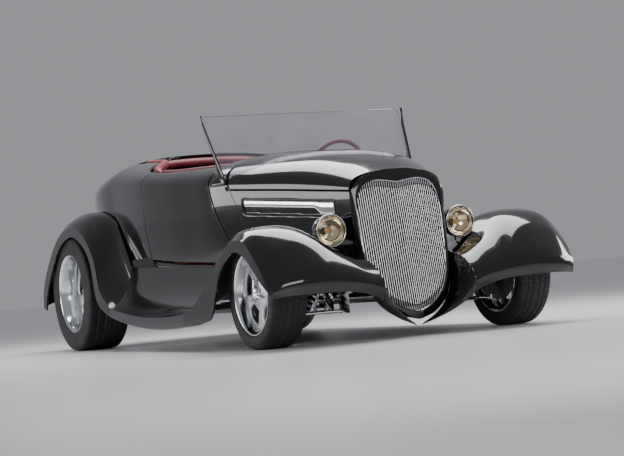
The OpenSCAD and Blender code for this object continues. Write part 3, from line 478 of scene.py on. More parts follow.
chrome = metal("polished_trim", (0.86, 0.87, 0.89), 0.05, 300.0, 0.000004)
along, up = lattice(120, 9)
x = mix(vent_back + 9, vent_front - 9, along)
middle = vent_middle(x)
sweep = np.clip((x - (vent_front - 150)) / 60, 0, 1)
lower = middle + mix(1, -33, sweep * sweep * (3 - 2 * sweep))
z = mix(lower, middle + 33, up)
bow = 2.2 * np.sin(np.pi * np.clip(up, 0.02, 0.98)) ** 0.5
bar = np.stack([x, -side_y(x, z) + 1.5 - bow, z], -1)
bar_back = np.stack([x, -side_y(x, z) + 7.5, z], -1)
both = joined([walled(bar, bar_back), walled(mirrored(bar), mirrored(bar_back))])
piece("vent_bars", both, chrome, "chassis", ["vent_trims"])

# ---------------------------------------------------------------- grille
# A heart-topped steel shell in body colour holds a V-shaped grille of thin upright bars. The bars are
# polished, round-nosed strips that follow the prow, and a thin bright bead closes the opening's edge.

# Right half of the opening, top centre to bottom tip: Y, Z, X before the grille plane.
grille_edge = np.array([
    [0, 786, 6], [60, 796, 4], [130, 800, 0], [195, 778, -4], [232, 715, -2], [240, 620, 6],
    [236, 500, 22], [227, 400, 40], [207, 300, 62], [160, 212, 84], [90, 156, 104], [12, 127, 122],
], float)
# The shell's outer edge beside each of those points.
shell_edge = np.array([
    [0, 851, 0], [72, 848, 0], [150, 831, 0], [222, 795, 0], [259, 735, 0], [254, 620, 2],
    [249, 500, 14], [238, 390, 32], [226, 282, 56], [177, 184, 80], [102, 120, 104], [16, 92, 124],
], float)


def through(rows, p):
    """Row of a net at position p along its rows: the Catmull-Rom curve through them, ends held."""
    p = np.asarray(p, float)
    last = len(rows) - 1
    i = np.clip(np.floor(p).astype(int), 0, last - 1)
    t = (p - i).reshape(p.shape + (1,) * (rows.ndim - 1))
    a, b, c, d = (rows[np.clip(i + k, 0, last)] for k in (-1, 0, 1, 2))
    return 0.5 * (2 * b + (c - a) * t + (2 * a - 5 * b + 4 * c - d) * t**2 + (3 * b - a - 3 * c + d) * t**3)


def edge_line(rows, p):
    """Points along one of the grille's edges, in the car's frame."""
    row = through(rows, p)
    return np.stack([grille_x + row[..., 2], -row[..., 0], row[..., 1]], -1)


along, over = lattice(110, 14)
half = mix(edge_line(shell_edge, 11 * along), edge_line(grille_edge, 11 * along), over[..., None])
half[..., 0] += 12 * np.sin(np.pi / 2 * over)
half = np.concatenate([half, half[-1:] * [1, 0, 1] - [0, 0.2, 3]])
grille_shell = np.concatenate([half[:0:-1], half * [1, -1, 1]])
shell_inner = grille_shell - 14 * normals(grille_shell)
panel("grille_shell_skin", grille_shell, shell_inner, black, "chassis", "grille_shell",
    radius=3, rim=4)


def prow_x(y, z):
    """X of the grille's front at y and z: it leans back as it rises and comes to a V at the middle."""
    return grille_x + 106 - 0.181 * (z - 122) + 28 * (1 - np.abs(y) / 240)


bars_each_side = 20
opening = through(grille_edge, np.linspace(0, 11, 400))
widest = np.argmax(opening[:, 0])
across_bars = (np.arange(bars_each_side) + 0.5) * (236 / bars_each_side)
high = np.interp(across_bars, opening[:widest, 0], opening[:widest, 1]) + 2
low = np.interp(across_bars, opening[widest:, 0][::-1], opening[widest:, 1][::-1]) - 2
rows_up, nose = 16, np.radians([180, 140, 90, 40, 0])
z = mix(low[:, None], high[:, None], np.linspace(0, 1, rows_up))[..., None]
y = across_bars[:, None, None] + 2.5 * np.cos(nose)
x = prow_x(across_bars[:, None, None], z) - 9 + 6 * np.sin(nose) - 8 * (np.sin(nose) < 0.01)
strips = np.stack(np.broadcast_arrays(x, y, z), -1)
one_side = []
for strip in strips:
    ends = [list(range(len(nose))), list(range((rows_up - 1) * len(nose), rows_up * len(nose)))[::-1]]
    around_bar = quads(rows_up, len(nose), along=True)[:, ::-1].tolist() + ends
    one_side.append((strip.reshape(-1, 3), around_bar))
    one_side.append((strip.reshape(-1, 3) * [1, -1, 1], [face[::-1] for face in around_bar]))


def tube(path, radius, sides=12, closed=False):
    """Round tube along a path of points; its ring turns as little as it can from point to point."""
    path = np.asarray(path, float)
    count = len(path)
    radius = np.broadcast_to(radius, count)
    before = np.roll(path, 1, 0) if closed else np.concatenate([path[:1], path[:-1]])
    after = np.roll(path, -1, 0) if closed else np.concatenate([path[1:], path[-1:]])
    heading = after - before
    heading /= np.linalg.norm(heading, axis=1, keepdims=True)
    spare = np.eye(3)[np.argmin(np.abs(heading).max(0))]
    side = np.cross(heading, spare)
    side /= np.linalg.norm(side, axis=1, keepdims=True)
    other = np.cross(heading, side)
    turn = np.linspace(0, 2 * np.pi, sides, endpoint=False)[:, None]
    rings = path[:, None] + radius[:, None,
        None] * (np.cos(turn) * side[:, None] + np.sin(turn) * other[:, None])
    if closed:
        return rings.reshape(-1, 3), quads(count, sides, around=True, along=True)[:, ::-1]
    ends = [list(range(sides))[::-1], list(range((count - 1) * sides, count * sides))]
    return rings.reshape(-1, 3), quads(count, sides, along=True)[:, ::-1].tolist() + [face[::-1]
        for face in ends]


bead = edge_line(grille_edge, np.linspace(0, 11, 140)) + [9, 0, 0]
bead = np.concatenate([bead, (bead * [1, -1, 1])[::-1][:-1]])
bead_tube = tube(bead, 3.2, 8, closed=True)
piece("grille_strips", joined([*one_side, bead_tube]), chrome, "chassis",
    ["grille_bars"])

dark = metal("dark_steel", (0.018, 0.018, 0.02), 0.6)
z = np.linspace(150, 780, 40)
back_half = np.interp(z, opening[widest:, 1][::-1], opening[widest:, 0][::-1])
back_half = np.where(z > 620, np.interp(z, [620, 715, 778, 790], [240, 232, 195, 120]), back_half) - 3
side = np.linspace(-1, 1, 25)
mesh_y = back_half[:, None] * side
screen = np.stack([prow_x(mesh_y, z[:, None]) - 42, mesh_y, z[:, None] + 0 * mesh_y], -1)
piece("radiator_screen", (screen.reshape(-1, 3), quads(40, 25)[:, ::-1]), dark, "chassis")

# ---------------------------------------------------------------- fenders, running boards and rear pan
# One flowing side: a domed front fender that narrows to a running board and rises over the rear wheel. A flat
# lip with a crisp crease runs along it all. Steel, wired edge below, in black enamel like the body.

lip_front_y, lip_rear_y, sheet = 878, 822, 10
# Sections of the right front fender, from inner edge to crease, then the lip's lower edge.
# X from the axle, Y as the distance inside the lip, Z as height.
front_net = np.array([
    [[-722, -286, 430], [-722, -268, 388], [-722, -238, 328], [-722, -185, 266],
     [-722, -125, 224], [-722, -60, 206], [-722, 0, 204], [-722, 0, 130]],
    [[-600, -372, 432], [-600, -325, 402], [-595, -268, 345], [-590, -205, 296],
     [-580, -135, 260], [-575, -62, 241], [-572, 0, 238], [-572, 0, 136]],
    [[-472, -423, 440], [-472, -352, 425], [-470, -285, 398], [-468, -215, 370],
     [-462, -135, 340], [-458, -62, 316], [-455, 0, 296], [-440, 0, 150]],
    [[-322, -473, 446], [-322, -385, 468], [-322, -298, 487], [-322, -208, 490],
     [-322, -118, 470], [-322, -45, 430], [-322, 0, 378], [-312, 0, 190]],
    [[-172, -523, 438], [-172, -435, 484], [-172, -338, 553], [-172, -238, 572],
     [-172, -130, 566], [-172, -36, 518], [-172, 0, 462], [-172, 0, 400]],
    [[0, -576, 432], [0, -486, 470], [0, -378, 562], [0, -278, 603],
     [0, -172, 609], [0, -56, 591], [0, 0, 538], [0, 0, 489]],
    [[148, -614, 418], [148, -535, 446], [148, -428, 500], [148, -318, 578],
     [148, -198, 598], [148, -66, 582], [148, 0, 540], [148, 0, 464]],
    [[278, -618, 392], [278, -552, 412], [278, -448, 462], [278, -335, 518],
     [278, -215, 531], [278, -78, 502], [278, -1, 440], [278, -1, 366]],
    [[372, -618, 340], [372, -558, 358], [372, -458, 398], [372, -338, 433],
     [372, -218, 435], [372, -90, 400], [368, -8, 335], [366, -8, 294]],
    [[430, -620, 262], [432, -565, 283], [437, -465, 314], [444, -345, 335],
     [442, -218, 336], [427, -100, 318], [405, -28, 285], [400, -26, 262]],
    [[402, -620, 192], [410, -565, 222], [428, -465, 248], [438, -345, 257],
     [436, -218, 259], [420, -105, 257], [398, -36, 250], [392, -36, 248]],
], float)
# Sections of the right rear fender in the same way.
rear_net = np.array([
    [[802, -158, 492], [802, -143, 425], [802, -115, 352], [802, -80, 305],
     [802, -38, 272], [802, 0, 258], [802, 0, 205]],
    [[690, -160, 640], [664, -138, 590], [645, -100, 520], [636, -58, 460],
     [634, -20, 412], [634, 0, 372], [580, 0, 300]],
    [[562, -163, 782], [540, -138, 752], [534, -98, 705], [538, -56, 658],
     [548, -20, 615], [552, 0, 580], [500, 0, 540]],
    [[382, -166, 842], [373, -140, 838], [368, -100, 820], [372, -54, 790],
     [378, -20, 755], [383, 0, 722], [345, 0, 668]],
    [[152, -195, 856], [148, -158, 862], [143, -110, 856], [143, -60, 834],
     [143, -22, 806], [143, 0, 774], [143, 0, 716]],
    [[-98, -262, 818], [-113, -208, 824], [-118, -140, 810], [-118, -76, 784],
     [-113, -28, 750], [-108, 0, 710], [-88, 0, 652]],
    [[-308, -366, 725], [-333, -290, 718], [-343, -190, 694], [-343, -100, 660],
     [-333, -34, 613], [-323, 0, 562], [-278, 0, 502]],
    [[-440, -505, 578], [-468, -400, 562], [-482, -262, 532], [-482, -130, 497],
     [-475, -40, 456], [-463, 0, 412], [-398, 0, 372]],
    [[-466, -600, 400], [-496, -480, 385], [-514, -320, 362], [-516, -160, 338],
     [-510, -50, 312], [-500, -2, 288], [-450, -2, 270]],
], float)
crown_m, lip_m = 42, 6


def across(net, p, origin, lip_y):
    """Fender rows at positions p of a net.
    The crown follows a smooth curve to the crease, and the lip is straight."""
    sections = through(net, p)
    crown = through(np.swapaxes(sections[:, :-1], 0, 1), np.linspace(0, net.shape[1] - 2, crown_m + 1))
    share = np.linspace(0, 1, lip_m + 1)[1:, None, None]
    strip = mix(sections[:, -2], sections[:, -1], share)
    rows = np.swapaxes(np.concatenate([crown, strip]), 0, 1)
    return np.stack([origin + rows[..., 0], -lip_y - rows[..., 1], rows[..., 2]], -1)


nose_rows = across(front_net, np.linspace(10, 0, 101), front_x, lip_front_y)
tail_rows = across(rear_net, np.linspace(0, 8, 97), rear_x, lip_rear_y)
t = np.linspace(0, 1, 41)[:, None, None]
dip = (1 - (2 * t - 1) ** 2) * (4 + 34 * np.minimum(1, np.arange(crown_m + lip_m + 1) / crown_m)[:,
    None] ** 2)
board_rows = mix(nose_rows[-1], tail_rows[0], t) - dip * [0, 0, 1]
side_rows = np.concatenate([nose_rows, board_rows[1:], tail_rows[1:]])
side_inner = side_rows - sheet * normals(side_rows)
cuts = {"front_fender": (0, 90), "running_board": (90, 140), "rear_fender": (140, 236)}
for word, (a, b) in cuts.items():
    outer, inner = side_rows[a : b + 1], side_inner[a : b + 1]
    panel("right_" + word, outer, inner, black, "chassis", word + "_right", 1.2, 4, crown_m)
    panel("left_" + word, mirrored(outer), mirrored(inner), black, "chassis",
        word + "_left", 1.2, 4, crown_m)

pan = []
for j in range(5):
    outer_end, inner_end = side_rows[236 - 2 * j, 0], side_inner[236 - 2 * j, 0]
    s = np.linspace(-1, 1, 61)
    half = min(-outer_end[1], -inner_end[1]) - 0.9
    x = outer_end[0] - (1 - s * s) * (18 + 3 * j)
    pan.append(np.stack([x, s * half, 0 * s + min(outer_end[2], tub_low_z - 13)], -1))
pan = np.swapaxes(np.array(pan), 0, 1)[::-1]
panel("roll_pan", pan, pan - sheet * normals(pan), black, "chassis", "rear_pan", 1.5, 1.5)

# Apron between grille shell and fender, to a low point in the middle.
n = 45
i = np.linspace(0, 1, n)
outer = np.array([side_rows[k, 0] for k in np.round(mix(36, 0, i)).astype(int)])
behind = np.array([side_inner[k, 0] for k in np.round(mix(36, 0, i)).astype(int)])
fall = np.maximum(0, i - 0.75) * 4
hem = edge_line(shell_edge, mix(6.6, 11, i))
hem = hem + np.stack([0 * i + 6, -13 + 12 * fall, -8 - 24 * fall], -1)
side = np.maximum(outer[:, 1], behind[:, 1])
hem[:, 1] = np.minimum(-1, np.maximum(side + 1.6, hem[:, 1]))
outer[:, 1] = side + 0.9
share = np.linspace(0, 1, 17)[None, :, None]
apron = mix(outer[:, None], hem[:, None], share)
apron = apron + np.sin(np.pi * share) * [24, 0, -10]
under = apron - [5, 0, 6]
both = joined([walled(apron, under), walled(mirrored(apron), mirrored(under))])
piece("apron", both, black, "chassis", ["front_apron"])

# ---------------------------------------------------------------- windshield
# Frameless laminated glass with rounded corners, held between two slim fins that stand on the cowl and
# taper up beside it. The fins are cast and painted with the body; the glass has a faint grey-violet tint.

glass_low, glass_high = (np.array(c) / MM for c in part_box("windshield_glass"))
glass_top_z, glass_half_w = glass_high[2] + 1, glass_high[1] + 3
glass_foot = 0.94 * glass_half_w


def glass_x(z):
    """X of the glass at height z: it leans back by 26 degrees."""
    return front_x - 912 + (glass_top_z - z) * np.tan(np.radians(26))


along, up = lattice(17, 60)
z = mix(870, glass_top_z - 1, up**0.8)
front = np.where(z < 960, mix(glass_x(z) + 26, front_x - 722, (960 - z) / 94), glass_x(z) + 26)
wide = 17 + 112 * np.maximum(0, (1010 - z) / 144) ** 1.6 + 30 * (glass_top_z - z) / 400
x = mix(np.maximum(front_cut(z) + gap + 2, front - wide), front, along)
line = mix(glass_foot, glass_half_w - 3, (z - 926) / (glass_top_z - 36 - 926)) + 0.7
flank = -np.maximum(line, -skin(x, np.minimum(z, rim_z(x)))[..., 1] + 3)
fin = np.stack([x, flank, z], -1)
swell = np.sqrt(np.maximum(0, 1 - (2 * along - 1) ** 2))
fin_out = fin - np.stack([0 * x, 2 + 8.5 * swell, 0 * x], -1)
both = joined([walled(fin_out, fin), walled(mirrored(fin_out), mirrored(fin))])
piece("windshield_fins", both, black, "chassis", ["windshield_posts"])


def clear(name, tint, rough=0.03, alpha=0.35):
    """Clear or tinted glass: a gloss face over a thin tint, its roughness varied by faint smears."""
    material, tree, shader, where = nodes_of(name)
    shader.inputs["Transmission Weight"].default_value = 1.0 - alpha
    shader.inputs["IOR"].default_value = 1.45
    deep = tuple(c * 0.9 for c in tint)
    tree.links.new(two_tone(tree, spread(tree, noise(tree, where, 6.0), 0, 1), deep, tint),
        shader.inputs["Base Color"])
    tree.links.new(spread(tree, noise(tree, where, 14.0), rough * 0.6, rough * 1.6),
        shader.inputs["Roughness"])
    return material


def coat_on(node, material):
    """Gives a CAD node that stays in view its material."""
    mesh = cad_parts[node].data
    mesh.materials.clear()
    mesh.materials.append(material)


coat_on("windshield_glass", clear("tinted_screen", (0.86, 0.84, 0.92), 0.02, 0.06))

# ---------------------------------------------------------------- wheels
# Cast alloy wheels: a spun rim with a polished lip, and a cast centre with five rounded windows that is
# bolted in from behind and held by a three-bladed knock-off nut. The rear rims are far deeper.


def lathe(profile, centre, toward, sides=96, loop=False):
    """Profile of radius and distance, turned about the axis through centre along toward; ends are capped."""
    profile = np.asarray(profile, float)
    toward = np.asarray(toward, float) / np.linalg.norm(toward)
    across_axis = np.cross(toward, [0, 0, 1.0] if abs(toward[2]) < 0.9 else [1.0, 0, 0])
    across_axis /= np.linalg.norm(across_axis)
    third = np.cross(toward, across_axis)
    turn = 2 * np.pi * np.arange(sides)[:, None] / sides
    ring = np.cos(turn) * across_axis + np.sin(turn) * third
    grid = np.asarray(centre, float) + profile[:, None, :1] * ring + profile[:, None, 1:] * toward
    count = len(profile)
    faces = quads(count, sides, around=loop, along=True).tolist()
    if not loop:
        faces += [list(range(sides))[::-1], list(range((count - 1) * sides, count * sides))]
    return outward(grid.reshape(-1, 3), faces)


def outward(points, faces):
    """The same closed mesh with its faces turned outward, judged by its signed volume."""
    volume = sum(np.dot(points[f[0]], np.cross(points[f[k]], points[f[k + 1]])) for f in faces
        for k in range(1, len(f) - 1))
    return points, faces if volume > 0 else [list(f)[::-1] for f in faces]


def eased(points, steps):
    """Smooth curve through a profile's points, so that its corners become round."""
    p = np.asarray(points, float)
    for _ in range(steps):
        inner = np.stack([0.75 * p[:-1] + 0.25 * p[1:], 0.25 * p[:-1] + 0.75 * p[1:]], 1).reshape(-1, 2)
        p = np.concatenate([p[:1], inner, p[-1:]])
    return p


def cast_face(r_out, height, seat, thick=16.0, windows=5):
    """Wheel centre made of sectors welded round rounded windows.
    height gives the face's rise above its seat at a radius from the axle."""
    r_in, half_angle = 62.0, np.pi / windows
    mid_r, half_r = (r_in + r_out) / 2 + 8, (r_out - r_in) / 2
    win_r, win_angle = 0.60 * half_r, 0.60 * half_angle
    t = np.linspace(0, 8, 64, endpoint=False)
    square = np.stack([np.interp(t, range(9), [1, 1, 0, -1, -1, -1, 0, 1, 1]),
        np.interp(t, range(9), [0, 1, 1, 1, 0, -1, -1, -1, 0])], -1)
    round_to = (np.abs(square) ** 3.2).sum(1) ** (1 / 3.2)
    hole = square / round_to[:, None] * [win_angle, win_r] + [0, mid_r]
    edge = square * [half_angle, half_r] + [0, (r_in + r_out) / 2]
    s = np.linspace(0, 1, 9)[:, None, None]
    spots = mix(hole[None], edge[None], s**0.85)
    rounded = 7 * np.clip(1 - s[..., 0] / 0.25, 0, 1) ** 2
    lift = height(spots[..., 1]) - rounded
    parts = []
    for k in range(windows):
        a = spots[..., 0] + 2 * np.pi * k / windows + np.pi / 2
        flat = [spots[..., 1] * np.cos(a), spots[..., 1] * np.sin(a)]
        top = np.stack([*flat, seat + lift], -1)
        base = np.stack([*flat, seat + lift - thick + rounded], -1)
        rows, around_n = top.shape[:2]
        face = quads(rows, around_n, along=True)
        ring = np.arange(around_n)
        after = (ring + 1) % around_n
        offset, last = rows * around_n, (rows - 1) * around_n
        walls = [
            np.stack([ring, after, after + offset, ring + offset], 1),
            np.stack([last + ring, last + ring + offset, last + after + offset, last + after], 1),
        ]
        points = np.concatenate([top.reshape(-1, 3), base.reshape(-1, 3)])
        parts.append((points, np.concatenate([face, face[:, ::-1] + offset, *walls])))
    points, faces = joined(parts)
    keys, where = np.unique(np.round(points, 2), axis=0, return_inverse=True)
    faces = where.ravel()[np.array(faces)]
    same = np.sort(faces, 1)
    _, first, count = np.unique(same, axis=0, return_index=True, return_counts=True)
    return outward(keys, faces[first[count == 1]].tolist())


def placed(shape, centre, side):
    """A shape made about the Z axis, turned so that Z points out of the car on that side."""
    points, faces = shape
    moved = np.asarray(centre) + np.stack([points[:, 0], -side * points[:, 2], points[:, 1]], -1)
    return outward(moved, faces)


alloy = metal("cast_alloy", (0.6, 0.61, 0.63), 0.4, 700.0, 0.00003)
lip_metal = metal("polished_lip", (0.78, 0.79, 0.81), 0.12, 500.0, 0.000005)
cast_iron = metal("cast_iron", (0.23, 0.23, 0.24), 0.5, 420.0, 0.00006)


def rubber():
    """Black tyre rubber, greyer where it is scuffed, with a fine grain."""
    material, tree, shader, where = nodes_of("tyre_rubber")
    tone = spread(tree, noise(tree, where, 9.0, 4.0), 0, 1)
    tree.links.new(two_tone(tree, tone, (0.011, 0.011, 0.012), (0.026, 0.026, 0.028)),
        shader.inputs["Base Color"])
    tree.links.new(spread(tree, noise(tree, where, 70.0), 0.5, 0.78), shader.inputs["Roughness"])
    bumped(tree, shader, noise(tree, where, 900.0, 2.0), 0.0001)
    return material


tyre_black = rubber()


def tyre(radius, half, rim_r, centre, side, blocks, groove_depth):
    """Tyre: sidewalls with two thin ribs, and a tread cut by four grooves and slanted sipes."""
    flank = [[rim_r + 0.5, half - 13], [rim_r + 3, half - 5], [rim_r + 10, half - 3.2],
        [rim_r + 16, half - 2.6]]
    flank += [[rim_r + 24, half - 1], [mix(rim_r, radius, 0.62), half - 0.6], [radius - 22, half - 1.5]]
    flank += [[radius - 10, half - 7], [radius - 4, half - 15]]
    flank = eased(flank, 1)
    width = np.linspace(half - 22, 22 - half, 45)
    crown = radius - 2.2 * (np.abs(width) / half) ** 3 - 0.4
    inner = [[rim_r + 9, 36 - half], [rim_r + 9, half - 36]]
    outer = np.concatenate([flank, np.stack([crown, width], -1), (flank * [1, -1])[::-1], inner])
    tread = np.zeros(len(outer))
    tread[len(flank) : len(flank) + len(width)] = 1
    sides = 6 * blocks
    turn = np.arange(sides)
    lane = np.abs(outer[:, 1]) / (half - 22)
    cut = tread * ((np.abs(lane - 0.24) < 0.035) | (np.abs(lane - 0.66) < 0.035))
    slant = np.abs(outer[:, 1]) / 14
    sipe = tread[:, None] * (((turn[None] + np.round(slant[:, None])) % 6 == 0) & (lane > 0.27)[:, None])
    depth = np.maximum(cut[:, None], 0.75 * sipe) * groove_depth
    angle = 2 * np.pi * turn / sides
    r = outer[:, :1] - depth
    points = np.stack([r * np.cos(angle), r * np.sin(angle), 0 * r + outer[:, 1:]], -1)
    return placed((points.reshape(-1, 3), quads(len(outer), sides, around=True, along=True).tolist()),
        centre, side)


def spinner(seat):
    """Knock-off nut: a domed cap with three tapering blades swept round it."""
    cap = eased([[38, seat], [38, seat + 9], [31, seat + 19], [18, seat + 25], [1, seat + 27]], 3)
    parts = [lathe(cap, (0, 0, 0), (0, 0, 1), 72)]
    reach_out = np.linspace(0, 1, 22)
    for k in range(3):
        bend_by = np.pi / 2 + 2 * np.pi * k / 3 + 0.10 * reach_out
        r = mix(16, 71, reach_out)
        spine = np.stack([r * np.cos(bend_by), r * np.sin(bend_by), seat + 15 - 6 * reach_out], -1)
        parts.append(tube(spine, 9.0 - 2.6 * reach_out - 5.5 * np.maximum(0, reach_out - 0.93) / 0.07, 16))
    return joined([outward(p, f) for p, f in parts])


def wheel(word, end, side, centre, radius, half, rim_r, seat, blocks, depth):
    """One wheel: tyre, barrel with its polished lip, cast face, hub and spinner, all on one body."""
    body, at = f"{end}_wheel_{word}", f"{end}_{{}}_{word}"
    piece(f"{word}_{end}_tyre", tyre(radius, half, rim_r, centre, side, blocks, depth), tyre_black, body,
          [at.format("tyre")])
    lip = [[rim_r, half - 9], [rim_r, half - 15], [rim_r - 13, half - 20], [rim_r - 14, half - 40]]
    drop = [[rim_r - 26, half - 62], [rim_r - 26, 40 - half], [rim_r - 14, 36 - half],
        [rim_r - 13, 20 - half]]
    tail_lip = [[rim_r, 16 - half], [rim_r, 9 - half], [rim_r - 8, 8 - half], [rim_r - 20, 22 - half]]
    bowl = [[rim_r - 34, 44 - half], [rim_r - 34, half - 66], [rim_r - 22, half - 42],
        [rim_r - 19, half - 24]]
    bead_edge = [[rim_r - 12, half - 12], [rim_r - 7, half - 8.2], [rim_r - 3, half - 8]]
    barrel = lathe(np.array(lip + drop + tail_lip + bowl + bead_edge), (0, 0, 0), (0, 0, 1), 144, loop=True)
    piece(f"{word}_{end}_rim", placed(barrel, centre, side), lip_metal, body,
        [at.format("rim")])
    r_out = rim_r - 30
    face = cast_face(r_out, lambda r: np.interp(r, [62, 90, mix(90, r_out, 0.6), r_out], [13, 5, 9, 3]), seat)
    hub = eased([[24, seat - 22], [57, seat - 22], [66, seat - 4], [63, seat + 12], [46, seat + 15.5],
        [24, seat + 16]], 2)
    centre_parts = joined([face, lathe(hub, (0, 0, 0), (0, 0, 1), 96)])
    piece(f"{word}_{end}_wheel_centre", placed(centre_parts, centre, side), alloy, body)
    piece(f"{word}_{end}_spinner", placed(spinner(seat + 16), centre, side), chrome, body)


for word, side in (("right", 1), ("left", -1)):
    front_centre = (front_x, -side * wheel_f_y, tyre_f_r)
    rear_centre = (rear_x, -side * wheel_r_y, tyre_r_r)
    half_f, half_r_tyre = ((w[1] - w[0])[1] / 2 for w in (front_wheel, rear_wheel))
    wheel(word, "front", side, front_centre, tyre_f_r, half_f, 214, 36, 64, 5.0)
    wheel(word, "rear", side, rear_centre, tyre_r_r, half_r_tyre, 246, 10, 60, 7.0)

# ---------------------------------------------------------------- lamps
# Two round headlights: black spun bowls on short stalks, each with a thin bright rim, a silvered reflector,
# a bulb and a fluted warm lens. The tail has four small round red lenses.

lens_low, lens_high = (np.array(c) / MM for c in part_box("headlight_lenses"))
bowl_low, bowl_high = (np.array(c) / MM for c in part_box("headlight_buckets"))
lamp_z = (lens_low[2] + lens_high[2]) / 2
lamp_r = (lens_high[2] - lens_low[2]) / 2 + 8.4
lamp_y = lens_high[1] - lamp_r + 8.4
lamp_x = front_x + 112
warm = clear("warm_lens", (1.0, 0.9, 0.72), 0.05, 0.02)
mirror_metal = metal("silvered", (0.92, 0.9, 0.86), 0.04)
bulb_glass, tree, shader, where = nodes_of("bulb_glass")
tree.links.new(two_tone(tree, noise(tree, where, 50.0), (0.9, 0.55, 0.2), (1, 0.75, 0.4)),
    shader.inputs["Base Color"])
shader.inputs["Roughness"].default_value = 0.15
outside = eased([[6, -117], [22, -116], [44, -106], [63, -88], [77, -64], [lamp_r - 4, -36],
    [lamp_r - 0.5, -12]], 2)
inside = [[lamp_r - 0.5, 0], [lamp_r - 5, 2], [lamp_r - 8, -4], [lamp_r - 9, -20], [50, -60], [6, -80]]
bowl = np.concatenate([outside, inside])
ring_at = np.linspace(0, 2 * np.pi, 20, endpoint=False)
rim_ring = np.stack([lamp_r - 4 + 3.8 * np.cos(ring_at), 3.2 + 4.2 * np.sin(ring_at)], -1)
mirror_bowl = np.array([[lamp_r - 10, -8], [70, -18], [56, -38], [34, -53], [10, -60], [10, -62],
    [34, -55], [57, -40], [71.5, -19]])
bulb = eased([[3, -58], [10, -52], [13, -38], [9, -27], [2, -24]], 2)
spots = np.linspace(1, lamp_r - 9, 38)
fluted = np.stack([spots, 14 - 11 * (spots / spots[-1]) ** 2.2 - 0.7 * (1 + np.cos(spots * 1.1)) / 2], -1)
lens_back = np.stack([spots[::-1], 0 * spots - 1], -1)
for word, side in (("right", -1), ("left", 1)):
    at = (lamp_x, side * lamp_y, lamp_z)
    ahead_x = (1, 0, 0)
    stalk_at = np.array([lamp_x - 60, side * lamp_y, 0])
    stalk = outward(*tube([stalk_at + [0, 0, bowl_low[2] + 0.5], stalk_at + [0, 0, lamp_z - 60]], 4.8, 24))
    owner = ["headlight_buckets"] if side < 0 else ()
    piece(word + "_lamp_bowl", joined([lathe(bowl, at, ahead_x, 96), stalk]), black, "chassis",
        owner)
    piece(word + "_lamp_rim", lathe(rim_ring, at, ahead_x, 96, loop=True), chrome, "chassis")
    piece(word + "_reflector", lathe(mirror_bowl, at, ahead_x, 96, loop=True), mirror_metal, "chassis")
    piece(word + "_bulb", lathe(bulb, at, ahead_x, 48), bulb_glass, "chassis")
    owner = ["headlight_lenses"] if side < 0 else ()
    lens = lathe(np.concatenate([fluted, lens_back]), at, ahead_x, 96)
    piece(word + "_lens", lens, warm, "chassis", owner)

red = clear("red_lens", (0.55, 0.01, 0.015), 0.08, 0.7)
coat_on("taillights", red)

# ---------------------------------------------------------------- running gear
# Welded steel frame, axle, arms and brackets in satin black and bare metal, and a polished exhaust. Coil
# springs are wound round the dampers at the front; the parts of the frame model are kept under them.

satin = metal("satin_black", (0.06, 0.06, 0.065), 0.38)
for node in ("frame_rails", "floor_pan", "rockers", "wheelhouses", "firewall", "steering_column"):
    coat_on(node, satin)
for node in ("engine_block", "rear_axle", "knuckle_right", "knuckle_left"):
    coat_on(node, cast_iron)
for node in ("front_suspension", "tie_rod", "exhaust_pipes"):
    coat_on(node, chrome)
for word, side in (("right", -1), ("left", 1)):
    low_end, high_end = np.array([front_x, 478.0, 190.0]), np.array([front_x, 396.0, 366.0])
    t = np.linspace(0, 1, 150)[:, None]
    wind = 2 * np.pi * 7 * t
    lean_axis = (high_end - low_end) / np.linalg.norm(high_end - low_end)
    other = np.cross(lean_axis, [1, 0, 0])
    coil = mix(low_end, high_end, t) + 31 * (np.cos(wind) * [1, 0, 0] + np.sin(wind) * other)
    spring = tube(coil * [1, side, 1], 5.0, 10)
    piece(word + "_coil_spring", outward(*spring), chrome, "chassis")

# ---------------------------------------------------------------- sills
# A folded steel flange, in body black, stands on each rocker and closes the slot under the door down to
# the door's own running gap. It is spot-welded along the rocker's top edge.

sill_line = side_rows[:, 0]
under_door = (sill_line[:, 0] > rear_cut(530)) & (sill_line[:, 0] < front_cut(470))
sill_line = sill_line[under_door]
sill_top = np.stack([sill_line[:, 0], sill_line[:, 1] + 3, at_x(body_rows, sill_line[:, 0])[:, 4] - 0.5], -1)
sill_foot = sill_line + [0, 3, -12]
flange = np.stack([sill_foot, sill_top], 1)
flange_back = flange + [0, 20, 0]
for word, side in (("right", 1), ("left", -1)):
    shape = outward(*walled(flange * [1, side, 1], flange_back * [1, side, 1]))
    piece(word + "_sill_flange", shape, black, "chassis")

# ---------------------------------------------------------------- cabin trim
# Burgundy leather over foam: a bench with upright sewn pleats, pleated door panels, a padded dashboard and
# a soft roll inside the cockpit's rim. The covers are cut, sewn and pulled over their foam.


def leather():
    """Burgundy leather: soft sheen, a pebbled grain, and a tone that varies at random across it."""
    material, tree, shader, where = nodes_of("burgundy_leather")
    tone = spread(tree, noise(tree, where, 7.0, 3.0), 0, 1)
    tree.links.new(two_tone(tree, tone, (0.13, 0.018, 0.026), (0.24, 0.042, 0.052)),
        shader.inputs["Base Color"])
    tree.links.new(spread(tree, noise(tree, where, 90.0), 0.36, 0.52), shader.inputs["Roughness"])
    pebbles = tree.nodes.new("ShaderNodeTexVoronoi")
    pebbles.inputs["Scale"].default_value = 420.0
    tree.links.new(where, pebbles.inputs["Vector"])
    bumped(tree, shader, pebbles.outputs["Distance"], 0.0003, 0.5)
    return material


hide = leather()
seat_rear = rear_x + 800
rail_top = 330


